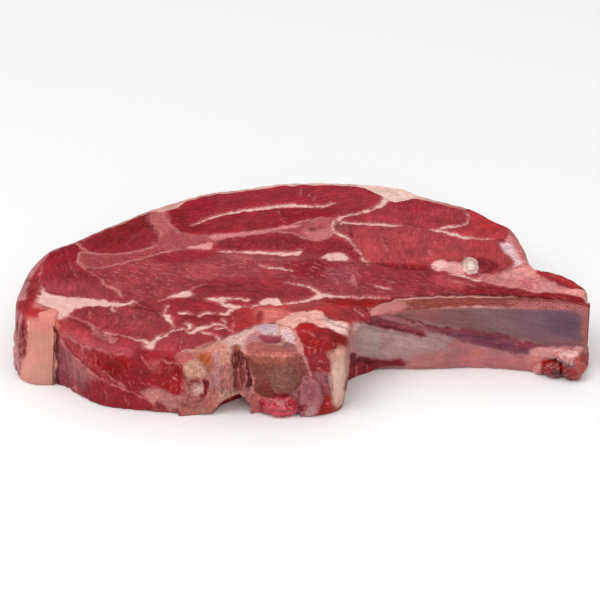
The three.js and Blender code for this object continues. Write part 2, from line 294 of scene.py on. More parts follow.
REGIONS = {
    "blade_bone": [(-77, 8), (-77.6, 3), (-75.5, -2.5), (-70, -4), (-62, -1), (-53, 4), (-45, 8.6), (-38, 9.8),
        (-31.5, 9.8), (-30.5, 14), (-26, 18.2), (-17, 20.9), (-8, 22.4), (-2, 21), (2, 17.3), (7, 16.3), (11, 18.8),
        (12, 25), (13.4, 31.5), (9, 33.5), (3, 31.8), (-8, 25.6), (-20, 22.1), (-34, 19.8), (-41, 21.2), (-45, 26.2),
        (-48, 33.5), (-50.5, 37.5), (-54, 35), (-53, 28.5), (-50, 21.5), (-50.5, 14.5), (-56, 9), (-65, 6.8), (-72, 7)],
    "backbone": [(-39.5, -64), (-37.5, -58), (-32, -56.5), (-26.5, -51.5), (-20, -46.5), (-13.5, -42), (-7.5, -41.2),
        (-3, -43.8), (-1.3, -50), (-0.6, -57), (-0.6, -64), (-20, -66)],
    "neck_muscle": [(-1.4, -46), (0, -41.8), (3.6, -41.2), (6, -43.6), (10, -45), (13.6, -48.8), (15.2, -53),
        (11.4, -54.6), (9.6, -58), (9, -64), (0.4, -64), (0, -57), (-0.9, -51)],
    "sinew": [(8.8, -66), (8.8, -58), (11, -54.8), (14, -52.2), (20, -51), (22, -60), (16, -66)],
    "tan_fat": [(-91.4, -30), (-91.6, -44), (-86, -50), (-80.6, -46), (-80.6, -33.4), (-86, -31)],
    "seam_fat": [(-88.4, -28), (-88.2, -20.5), (-84.5, -21.8), (-79, -23.9), (-71, -24.8), (-63, -27), (-57, -27.6),
        (-57.4, -29.3), (-64, -30.3), (-70.5, -29.8), (-75.6, -30.8), (-78, -34), (-80.4, -37), (-83, -33)],
    "brisket_fat": [(84, 24), (75, 23), (72, 17.5), (71.4, 11), (73.6, 3.5), (72, -4.5), (66.5, -8.6), (61.5, -12.5),
        (69, -16.6), (77, -19.4), (86, -21.2), (94.6, -23), (102, -23.6), (102, -20.6), (95, -20), (89, -17),
        (84.4, -12), (82.6, -6), (84, 0), (86, 10)],
    "brisket_tip": [(82.4, 2), (83, -7), (86, -13), (90.4, -17.2), (95.6, -20.2), (104, -20.4), (104, 2)],
    "vein": [(56.6, -1), (57.6, 3.2), (59.4, 4.2), (61.2, 2.4), (61.7, -3), (60.5, -7.6), (58, -7.6)],
}
MUSCLES = {
    "infraspinatus": [(-48, 36), (-45.6, 28.6), (-41, 22), (-33, 20.6), (-20, 23), (-8, 26.4), (4, 33.4), (13, 34.6),
        (24, 39), (29.5, 47), (26, 54), (16, 59.2), (4, 60.2), (-10, 57), (-22, 53.6), (-34, 50.6), (-43, 44.6)],
    "supraspinatus": [(-75, 15), (-74.2, 9), (-67, 7.7), (-57.5, 9.4), (-51.4, 14.6), (-51, 22), (-54.4, 28),
        (-56, 33.6), (-64.5, 29), (-71.6, 21.6)],
    "trapezius": [(-96, -14), (-94, 0), (-90.4, 4), (-89.9, -8), (-88.8, -20), (-89.4, -33), (-93.6, -33), (-97, -25)],
    "rhomboideus": [(-89.2, 3), (-87, 10), (-80, 15), (-77.4, 9), (-78.2, 2), (-75.6, -4), (-69, -11), (-63.2, -17.4),
        (-61.4, -24.4), (-66, -26), (-77, -23.6), (-85, -20.9), (-88.2, -15), (-89, -6)],
    "serratus": [(-75, -4), (-62, -1.6), (-52, 3.8), (-44, 8), (-34, 8.6), (-26, 4.4), (-12, 3.2), (4, 1.8), (18, 0.2),
        (30, -4), (36, -10), (40, -16), (44, -23), (30, -23), (14, -22), (9, -20.6), (5, -17.6), (-4, -12.4),
        (-5, -15), (2, -18.6), (5, -22.6), (0, -25), (-10, -25.6), (-24, -24), (-35.8, -22.4), (-38, -17.4),
        (-48, -23.6), (-58, -26), (-60.6, -20), (-66, -12.4)],
    "intercostal_band": [(24, -2), (36, -4.2), (45, -6.2), (56, -11.8), (67, -16.8), (78, -20.2), (92, -23.2),
        (96, -27), (78, -25), (60, -23.6), (42, -23.6), (36, -20), (32, -12)],
    "subscapularis": [(-29.6, 11.2), (-25, 16.8), (-15, 20.2), (-6, 21), (0.4, 17.4), (6.6, 14.8), (12.6, 17.4),
        (17, 13.4), (21, 5.6), (20.8, 1.4), (17, 5), (12, 8), (4, 6.6), (0.6, 9.2), (-10, 10), (-22, 9.8)],
    "coracoid_muscle": [(12.6, 23.4), (12.6, 27.6), (15.2, 29.2), (17.8, 26.6), (17.4, 23.2), (14.8, 21.8)],
    "teres_major": [(15.4, 31.6), (26, 30.4), (37, 29), (48, 25.4), (56, 28.4), (59.8, 32.4), (59, 39.4), (50, 46.6),
        (41, 49), (34.6, 46.4), (29.6, 40.4), (22, 36.4)],
    "latissimus": [(21.2, 25.8), (29, 27.8), (39, 26.4), (48.6, 23.2), (57, 18.4), (67.4, 17.4), (70.8, 9), (72.8, 2),
        (67.4, -7.2), (62.4, -6), (62.2, 2.8), (59.4, 5.6), (56, 1.8), (46.2, 1.8), (44.6, -4.8), (34, -3.2),
        (24.8, -0.4), (22.2, 8), (18.8, 18.6)],
    "outer_strip": [(61, 39.6), (64.6, 38), (71, 29.4), (75, 23.6), (71.6, 17.4), (61, 19.2), (54, 23.2), (58.8, 26.6),
        (61.2, 31.4)],
    "longissimus": [(-76.6, -34), (-73.8, -30.6), (-66, -30.8), (-58, -29.8), (-50.6, -33), (-46, -39), (-43, -45),
        (-47, -50.2), (-56, -51.2), (-64, -47.6), (-71.4, -40)],
    "flank_wedge": [(-81, -39), (-77, -37.6), (-71.6, -43), (-66, -48), (-56, -52.2), (-50, -54), (-47, -58.5),
        (-64, -54), (-76, -46)],
    "multifidus": [(-46.4, -53), (-42, -46.4), (-37, -47.6), (-29.4, -49), (-28, -53), (-33, -59), (-45, -60)],
    "semispinalis": [(-45, -29), (-49, -26), (-37, -24.8), (-30, -26.2), (-24.6, -29.8), (-31, -33.6), (-43.6, -33.8)],
    "spinalis": [(-42.4, -36), (-33, -35.6), (-25, -35.6), (-26.6, -39.4), (-36, -41.4), (-41, -44)],
    "rotator": [(-31, -47), (-26.6, -42.8), (-22.4, -43.4), (-22.6, -48.6), (-27.6, -48.4)],
    "rib_head_muscle": [(-22.4, -33), (-16, -30), (-6, -29.2), (6, -26), (20, -24.2), (34, -24.6), (30, -29),
        (26, -37), (19, -43), (10, -37), (6, -33), (0, -33), (-6, -36), (-10, -40), (-16, -45), (-23, -50),
        (-22.6, -42)],
}
# The flank's strip of wall at the front left, and the rib cage's lining at the front right.
FLANK = [
    (-84, -30), (-79, -34), (-72, -40), (-64, -46), (-54, -51), (-47, -53), (-41, -53.4), (-40, -70), (-90, -70),
    (-90, -34),
]
LINING = [
    (10.5, -70), (11, -53), (11.4, -46), (14.4, -38.6), (19, -33.6), (23.6, -30.8), (27, -28.4), (29, -34), (29, -70),
]


@dataclass
class SliceForm:
    """The whole slice: how its wall runs round the outline and how its edges are rounded.

    The upper edge is a quarter circle, wide at the front and narrow along the back, the lower edge a
    small one, and between them the wall swells a little and leans by the outline's third number. The
    distance to the outline and the lean of its nearest point are worked out once, on a fine grid.

    Attributes:
        front_edge: Radius of the upper edge along the front.
        back_edge: Its radius along the back.
        foot_edge: Radius of the lower edge.
        belly: How far the wall swells.
        corner: Lowest x and y of the grid.
        cell: Spacing of the grid.
        maps: The distance and the lean at each of its nodes.
    """

    front_edge: float = 2.4
    back_edge: float = 0.9
    foot_edge: float = 1.0
    belly: float = 0.6
    corner: tuple[float, float] = (-104.0, -69.0)
    cell: float = 0.5
    maps: np.ndarray = field(init=False)

    def __post_init__(self) -> None:
        """Map the signed distance and the lean."""
        curve = smooth_curve(SLICE, 1.4)
        x, y = (np.arange(self.corner[k], -self.corner[k], self.cell) for k in (0, 1))
        nodes = np.stack(np.meshgrid(x, y, indexing="ij"), -1).reshape(-1, 2)
        starts, ends = curve, np.roll(curve, -1, axis=0)
        lean = np.empty(len(nodes))
        for group in np.array_split(np.arange(len(nodes)), 24):
            distance, share = edge_distances(nodes[group], starts, ends)
            best = distance.argmin(1)
            part = share[np.arange(len(group)), best]
            lean[group] = starts[best, 2] * (1 - part) + ends[best, 2] * part
        distance = outline_field(curve[:, :2])(nodes)
        self.maps = np.stack([distance, lean], -1).reshape(len(x), len(y), 2)

    def sample(self, points: np.ndarray) -> np.ndarray:
        """Read the distance and the lean at places, each blended from the four nodes round it.

        Args:
            points: The places.

        Returns:
            Rows of a distance and a lean.
        """
        at = (points - self.corner) / self.cell
        low = np.clip(np.floor(at).astype(int), 0, np.array(self.maps.shape[:2]) - 2)
        part = np.clip(at - low, 0, 1)
        (i, j), (u, v) = low.T, part.T[..., None]
        left = self.maps[i, j] * (1 - v) + self.maps[i, j + 1] * v
        right = self.maps[i + 1, j] * (1 - v) + self.maps[i + 1, j + 1] * v
        return left * (1 - u) + right * u

    def whole(self, points: np.ndarray) -> np.ndarray:
        """Signed distance to the slice's outline."""
        return self.sample(points)[:, 0]

    def lean(self, points: np.ndarray) -> np.ndarray:
        """The wall's lean at the outline point nearest to each place."""
        return self.sample(points)[:, 1]

    def edge(self, points: np.ndarray) -> np.ndarray:
        """How far the upper edge rounds in at each place."""
        return self.back_edge + (self.front_edge - self.back_edge) * smooth(12, 0, points[:, 1])

    def face(self, points: np.ndarray) -> np.ndarray:
        """Field of the flat face inside the rounded edge."""
        return self.whole(points) - self.edge(points)


@dataclass(frozen=True)
class FrontWall:
    """A stretch of the slice's front wall, between a left and a right end and before a line in y."""

    left: float
    right: float
    before: float
    belly: float = 0.6

    def depth(self, x: np.ndarray, z: np.ndarray) -> np.ndarray:
        """Work out the wall's y: the outline's, less a half sine of the height, plus the lean's power 1.5.

        Args:
            x: Places along the wall.
            z: Their heights.

        Returns:
            The y of each.
        """
        curve = smooth_curve(SLICE, 0.8)
        run = curve[(curve[:, 0] > self.left) & (curve[:, 0] < self.right) & (curve[:, 1] < self.before)]
        along, y, lean = run[np.argsort(run[:, 0])].T
        rise = z / THICKNESS
        swell = self.belly * np.sin(np.pi * rise)
        return np.interp(x, along, y) - swell + np.interp(x, along, lean) * np.clip(1 - rise, 0, 1) ** 1.5


@dataclass
class Solid:
    """A closed mesh in the making.

    Attributes:
        points: Corners, in millimetres.
        faces: Arrays of quads.
        plan: Where each corner belongs on the sawn face, before the wall's push.
        wall: 0 on the upper face, rising to 1 on the wall, and 2 underneath.
        outward: Which way the slice's outer wall faces at each corner; nothing on a border with a neighbour.
        crease: Corners on a border with a neighbour, where the face and the wall meet sharply.
    """

    points: np.ndarray
    faces: list[np.ndarray]
    plan: np.ndarray
    wall: np.ndarray
    outward: np.ndarray
    crease: np.ndarray


def mend_corners(kept: np.ndarray) -> np.ndarray:
    """Fill a cell where two kept cells touch only at a corner, so that the mesh has no pinched point.

    Args:
        kept: Which cells of the grid are kept.

    Returns:
        The same grid, mended.
    """
    a, b, c, d = kept[:-1, :-1], kept[1:, :-1], kept[:-1, 1:], kept[1:, 1:]
    b |= a & d & ~b & ~c
    a |= b & c & ~a & ~d
    return kept


def trimmed_grid(
    body: Field, box: Box, cell: tuple[float, float]
) -> tuple[np.ndarray, np.ndarray, np.ndarray]:
    """Fit a grid of quads to the region where a field is positive.

    Cells whose centre is inside are kept, their outer corners are moved down the field's slope onto the
    outline and spaced evenly along it, and the rows next to them are relaxed.

    Args:
        body: The region's field.
        box: Lowest x and y, highest x and y.
        cell: A cell's width and depth.

    Returns:
        Corners, quads and the directed edges of the rim, with the region on their left.
    """
    count = [int(np.ceil((box[2 + k] - box[k]) / cell[k])) for k in (0, 1)]
    middles = [box[k] + (np.arange(count[k]) + 0.5) * cell[k] for k in (0, 1)]
    centres = np.stack(np.meshgrid(*middles, indexing="ij"), -1).reshape(-1, 2)
    kept = np.zeros((count[0] + 2, count[1] + 2), bool)
    kept[1:-1, 1:-1] = (body(centres) > 0).reshape(count)
    kept = mend_corners(mend_corners(kept))
    i, j = np.nonzero(kept)
    row = kept.shape[1] + 1
    low = i * row + j
    quads = np.stack([low, low + row, low + row + 1, low + 1], 1)
    sides = [(0, -1, 0, 1), (1, 0, 1, 2), (0, 1, 2, 3), (-1, 0, 3, 0)]
    edges = np.concatenate([quads[~kept[i + di, j + dj]][:, [a, b]] for di, dj, a, b in sides])
    used, flat = np.unique(quads, return_inverse=True)
    quads, edges = flat.reshape(-1, 4), np.searchsorted(used, edges)
    corner = np.stack([used // row - 1, used % row - 1], 1)
    points = np.array(box[:2]) + corner * np.array(cell)

    rim, rounds = np.unique(edges), 8
    beside = np.zeros((len(points), 2))
    near = body(points) < 2.5 * max(cell)
    near[rim] = False
    ties = np.concatenate([quads[:, [a, b]] for a, b in ((0, 1), (1, 2), (2, 3), (3, 0))])
    ties = np.concatenate([ties, ties[:, ::-1]])
    ties = ties[near[ties[:, 0]]]
    share = np.maximum(np.bincount(ties[:, 0], minlength=len(points)), 1)[:, None]
    for turn in range(rounds):
        beside[:] = 0
        beside[edges[:, 0]] += points[edges[:, 1]] / 2
        beside[edges[:, 1]] += points[edges[:, 0]] / 2
        if turn:
            points[rim] += 0.5 * (beside[rim] - points[rim])
        steep = slope(body, points[rim])
        move = (body(points[rim]) / np.maximum((steep**2).sum(1), 0.3))[:, None] * steep
        points[rim] -= np.clip(move, -max(cell), max(cell))
        sums = [np.bincount(ties[:, 0], points[ties[:, 1], k], len(points)) for k in (0, 1)]
        points[near] = (np.stack(sums, 1) / share)[near]
    return points, quads, edges


@dataclass
class Slab:
    """A region of the slice, from its face to its foot.

    Attributes:
        form: The slice that it is cut from.
        region: The region's field on the flat face.
        box: The box that holds it.
        cell: Spacing of its corners on the face.
        rings: Number of rings down the wall.
        proud: How far its outer wall stands out past its neighbours'.
        top: Height of the face at each place.
        foot: Height of the underside at each place.
        taper: How far inside the wall the underside still follows its lean.
    """

    form: SliceForm
    region: Field
    box: Box
    cell: tuple[float, float]
    rings: int
    proud: float
    top: Field
    foot: Field = level(0.05)
    taper: float = 20.0

    def build(self) -> Solid:
        """Build the closed mesh: face, rings down the wall, underside.

        A rim corner on the slice's outline follows the rounded edge, the wall's swell and its lean. One
        on a border with a neighbour goes straight down.

        Returns:
            The closed mesh.
        """
        form, arc = self.form, 6
        points, quads, edges = trimmed_grid(self.region, self.box, self.cell)
        rim, flat = np.unique(edges, return_inverse=True)
        edges = flat.reshape(-1, 2)
        whole = form.whole
        at = points[rim]
        outward = -slope(whole, at)
        outward /= np.maximum(np.linalg.norm(outward, axis=1, keepdims=True), 1e-6)
        radius = form.edge(at)
        free = smooth(1.0, 0.3, whole(at) - radius)
        lean = form.lean(at) * free
        top, foot = self.top(points), self.foot(points)

        turns = np.linspace(0, np.pi / 2, arc)[1:, None]
        shares = np.linspace(0, 1, self.rings + 1)[1:-1, None]
        height = top[rim] - foot[rim]
        round_drop = radius * (1 - np.cos(turns))
        wall_drop = radius + (height - radius - form.foot_edge) * shares
        foot_drop = height - form.foot_edge * (1 - np.sin(turns[:-1]))
        drop = np.concatenate([round_drop, wall_drop, foot_drop])
        push = np.concatenate([
            radius * np.sin(turns),
            radius + form.belly * np.sin(np.pi * shares),
            radius - form.foot_edge * (1 - np.cos(turns[:-1])),
        ])
        fall = np.clip(drop / height, 0, 1)
        push = push * free + self.proud * free * smooth(0, 0.06, fall) - lean * fall**1.5
        ring_xy = at + push[..., None] * outward
        ring_z = top[rim] - drop

        under = points.copy()
        inside = whole(points) - form.edge(points)
        close = inside < self.taper
        lean_in = np.zeros(len(points))
        lean_in[close] = form.lean(points[close]) * (1 - np.clip(inside[close], 0, self.taper) / self.taper) ** 2
        lean_in[rim] = lean
        away = -slope(whole, points[close])
        away /= np.maximum(np.linalg.norm(away, axis=1, keepdims=True), 1e-6)
        under[close] -= away * lean_in[close, None]

        count, levels, ring = len(points), len(drop), len(rim)
        body = np.concatenate([ring_xy, ring_z[..., None]], -1).reshape(-1, 3)
        corners = np.concatenate([np.column_stack([points, top]), body, np.column_stack([under, foot])])
        strips = np.arange(levels)[:, None] * ring + count
        rows = np.concatenate([rim[None], strips + np.arange(ring)[None], rim[None] + count + levels * ring])
        upper, lower = rows[:-1], rows[1:]
        a, b = edges[:, 0], edges[:, 1]
        walls = np.stack([upper[:, a], lower[:, a], lower[:, b], upper[:, b]], -1).reshape(-1, 4)
        faces = [quads, walls, quads[:, ::-1] + count + levels * ring]
        depth = np.concatenate([round_drop * 0 + turns / (np.pi / 2), wall_drop * 0 + 1, foot_drop * 0 + 1])
        side = np.concatenate([np.zeros(count), depth.reshape(-1), np.full(count, 2.0)])
        plan = np.concatenate([points, np.tile(at, (levels, 1)), points])
        facing, crease = np.zeros((len(corners), 2)), np.zeros(len(corners), bool)
        facing[count:-count] = np.tile(outward * free[:, None], (levels, 1))
        crease[rim] = free < 0.5
        return Solid(corners, faces, plan, side, facing, crease)


def closed_grid(points: np.ndarray) -> list[np.ndarray]:
    """Join the rows of a grid whose rows are closed rings, and close both ends with a fan of quads.

    Args:
        points: Grid of shape (rows, ring, 3), with the rings counter-clockwise seen from the first row.

    Returns:
        Arrays of faces into the flattened grid.
    """
    rows, ring = points.shape[:2]
    number = np.arange(rows * ring).reshape(rows, ring)
    after = np.roll(number, -1, axis=1)
    sides = np.stack([number[:-1], after[:-1], after[1:], number[1:]], -1).reshape(-1, 4)
    half = np.arange(ring // 2 - 1)
    ends = []
    for line, turn in ((number[0], 1), (number[-1], -1)):
        fan = np.stack([line[half], line[half + 1], line[ring - 2 - half], line[ring - 1 - half]], 1)
        ends.append(fan[:, ::turn])
    return [sides[:, ::-1], *ends]


def put_mesh(name: str, solid: Solid, paint: dict[str, np.ndarray]) -> bpy.types.Object:
    """Put a solid into a smooth-shaded mesh object in metres, with its painted values on its corners.

    Args:
        name: The object's name.
        solid: The solid.
        paint: The painted values of each corner.

    Returns:
        The object, in the scene.
    """
    mesh = bpy.data.meshes.new(name)
    mesh.vertices.add(len(solid.points))
    mesh.vertices.foreach_set("co", (solid.points * MM).astype(np.float32).ravel())
    sizes = np.concatenate([np.full(len(faces), faces.shape[1]) for faces in solid.faces])
    mesh.loops.add(int(sizes.sum()))
    mesh.loops.foreach_set("vertex_index", np.concatenate([f.ravel() for f in solid.faces]).astype(np.int32))
    mesh.polygons.add(len(sizes))
    starts = np.concatenate([[0], np.cumsum(sizes)[:-1]]).astype(np.int32)
    mesh.polygons.foreach_set("loop_start", starts)
    mesh.polygons.foreach_set("use_smooth", np.ones(len(sizes), bool))
    mesh.update(calc_edges=True)
    ends = np.empty(2 * len(mesh.edges), np.int32)
    mesh.edges.foreach_get("vertices", ends)
    sharp = mesh.attributes.new("sharp_edge", "BOOLEAN", "EDGE")
    sharp.data.foreach_set("value", solid.crease[ends.reshape(-1, 2)].all(1))
    for label, values in paint.items():
        kind = "FLOAT" if values.ndim == 1 else "FLOAT_COLOR" if values.shape[1] == 4 else "FLOAT_VECTOR"
        key = {"FLOAT": "value", "FLOAT_COLOR": "color", "FLOAT_VECTOR": "vector"}[kind]
        layer = mesh.attributes.new(label, kind, "POINT")
        layer.data.foreach_set(key, values.astype(np.float32).ravel())
    piece = bpy.data.objects.new(name, mesh)
    bpy.context.scene.collection.objects.link(piece)
    return piece


class Plane(Enum):
    """Which two coordinates a painting is laid out on."""

    FACE = (0, 1)
    WALL = (0, 2)


@dataclass(frozen=True)
class Area:
    """A patch of one tone, such as a muscle's cut face.

    Attributes:
        outline: Control points of its closed outline.
        colour: Its tone.
        soft: Half width over which its edge fades, in millimetres.
        strength: How far it covers what lies below it.
        grow: How far its edge lies outside the outline.
        fibre: Direction of its fibres in degrees, or None to keep what lies below.
        marbling_and_glints: Share of pale flecks, partly fat and partly painted glints, or None to keep what lies
            below.
        pores: How strongly the pores of spongy bone show, or None to keep what lies below.
    """

    outline: Outline
    colour: str
    soft: float = 0.5
    strength: float = 1.0
    grow: float = 0.0
    fibre: float | None = None
    marbling_and_glints: float | None = None
    pores: float | None = None


def stroke_field(places: np.ndarray, line: Line) -> np.ndarray:
    """Work out the signed distance to a tapering stroke: half its width less the distance to its path.

    Args:
        places: Places, as rows of two numbers.
        line: The stroke's control points, each with its width.

    Returns:
        The distance of each, positive inside.
    """
    path = smooth_curve(line, 0.7, closed=False)
    result = np.full(len(places), -FAR)
    for group in near_groups(places, path, 3.0):
        distance, share = edge_distances(places[group], path[:-1], path[1:])
        width = path[:-1, 2] * (1 - share) + path[1:, 2] * share
        result[group] = (width / 2 - distance).max(1)
    return result


def frayed(places: np.ndarray) -> np.ndarray:
    """Shift places by ripples of 4.5, 1.9 and 0.9 mm, so that painted borders wander and fray.

    Args:
        places: Places, as rows of two numbers.

    Returns:
        The shifted places.
    """
    sizes = ((4.5, 0.28, 201), (1.9, 0.11, 211), (0.9, 0.05, 221))
    moves = [sum(size * ripple(places, length, seed + axis) for length, size, seed in sizes) for axis in (0, 1)]
    return places + np.stack(moves, 1)


@dataclass(frozen=True)
class Painting:
    """What a surface looks like at each place: its tones, its fat, its films and its fibres.

    Attributes:
        plane: The coordinates that it is laid out on.
        base: The tone below all others.
        areas: Patches of tone, the later ones over the earlier.
        fat: Strokes of fat.
        pads: Closed patches of fat.
        film: Thin pale strokes of membrane.
        creases: Strokes of painted shade, which darken what they cross where two tissues part.
        fibre: Direction of the fibres in degrees where no area says otherwise.
        marbling_and_glints: Share of pale flecks, partly fat and partly painted glints, where no area says otherwise.
        pores: How strongly pores show where no area says otherwise.
    """

    plane: Plane
    base: str
    areas: Sequence[Area] = ()
    fat: Sequence[Line] = ()
    pads: Sequence[Outline] = ()
    film: Sequence[Line] = ()
    creases: Sequence[Line] = ()
    fibre: float = 0.0
    marbling_and_glints: float = 0.0
    pores: float = 0.0

    def values(self, points: np.ndarray) -> dict[str, np.ndarray]:
        """Work out the painted values at points in space, each distinct place once.

        Tones and amounts are laid over each other by their covers, each a smooth step of the distance to
        its outline. The grain is the place turned by the fibres' direction.

        Args:
            points: The points.

        Returns:
            Their tint, marbling, pores, fat, film and grain.
        """
        every = points[:, list(self.plane.value)]
        rest = points[:, 3 - sum(self.plane.value)]
        places, back = np.unique(every.round(3), axis=0, return_inverse=True)
        back = back.ravel()
        count = len(places)
        places = frayed(places)
        tint = np.tile(linear(self.base), (count, 1))
        soft = {"marbling_and_glints": np.full(count, self.marbling_and_glints), "pores": np.full(count, self.pores)}
        angle = np.full(count, self.fibre)
        for area in self.areas:
            inside = outline_field(smooth_curve(area.outline, 1.0))(places) + area.grow
            cover = smooth(-area.soft, area.soft, inside)
            tint += (cover * area.strength)[:, None] * (np.array(linear(area.colour)) - tint)
            for key, value in (("marbling_and_glints", area.marbling_and_glints), ("pores", area.pores)):
                if value is not None:
                    soft[key] += cover * (value - soft[key])
            if area.fibre is not None:
                angle = np.where(inside > 0, area.fibre, angle)
        none = [np.full(count, -FAR)]
        fat = [stroke_field(places, line) for line in self.fat]
        fat += [outline_field(smooth_curve(outline, 0.6))(places) for outline in self.pads]
        film = [stroke_field(places, line) for line in self.film]
        # The partings darken the tone by up to 0.55: painted shade where two tissues part.
        dark = np.max([stroke_field(places, line) for line in self.creases] + none, axis=0)
        tint = np.maximum(tint - SHEEN, 0.003) * (1 - 0.55 * smooth(-0.5, 0.4, dark))[:, None]
        soft["fat"] = np.clip(np.max(fat + none, axis=0), -2, 2)
        soft["film"] = np.clip(np.max(film + none, axis=0), -2, 2)
        turn = np.radians(angle[back])
        along = every[:, 0] * np.cos(turn) + every[:, 1] * np.sin(turn)
        across = every[:, 1] * np.cos(turn) - every[:, 0] * np.sin(turn)
        values = {key: value[back] for key, value in soft.items()}
        return values | {"tint": tint[back], "grain": np.stack([along, across, rest], 1)}


def dressed(solid: Solid, face: Painting, wall: Painting | None, side: str = "#a4484b") -> dict[str, np.ndarray]:
    """Paint a solid: the face painting on top and underneath, the wall painting on the front.

    Args:
        solid: The piece.
        face: Painting of the sawn faces.
        wall: Painting of the front wall, if it shows one.
        side: Tone that the other outer walls lean towards.

    Returns:
        The painted values of each corner.
    """
    flat = np.column_stack([solid.plan, solid.points[:, 2]])
    values = face.values(flat)
    upright = smooth(0.25, 0.95, solid.wall) * (solid.wall < 1.5)
    turned = np.linalg.norm(solid.outward, axis=1)
    front = upright * smooth(-0.35, 0.1, -solid.outward[:, 1]) * smooth(0.05, 0.3, turned) if wall else 0 * upright
    other = upright * turned * (1 - front) * 0.5
    values["tint"] += other[:, None] * (np.array(linear(side)) - values["tint"])
    if wall:
        seen = front > 0.01
        ahead = wall.values(solid.points[seen])
        share = front[seen]
        for key, value in ahead.items():
            part = (share > 0.5).astype(float) if key == "grain" else share
            part = part[:, None] if value.ndim == 2 else part
            values[key][seen] += part * (value - values[key][seen])
    values["tint"] = np.column_stack([values["tint"], np.ones(len(flat))])
    return values


def add_node(
    tree: bpy.types.NodeTree,
    kind: str,
    inputs: dict[str | int, object] | None = None,
    out: str | int = 0,
    **settings: object,
) -> bpy.types.NodeSocket | None:
    """Add a shader node with its settings and its links.

    Args:
        tree: The node tree.
        kind: The node's type, without "ShaderNode".
        inputs: For each input's name or number, a value or the output socket to link.
        out: Name or number of the output that is wanted.
        settings: The node's own settings.

    Returns:
        That output's socket, if the node has any.
    """
    node = tree.nodes.new("ShaderNode" + kind)
    for label, setting in settings.items():
        setattr(node, label, setting)
    for label, value in (inputs or {}).items():
        if isinstance(value, bpy.types.NodeSocket):
            tree.links.new(value, node.inputs[label])
        else:
            node.inputs[label].default_value = value
    return node.outputs[out] if node.outputs else None


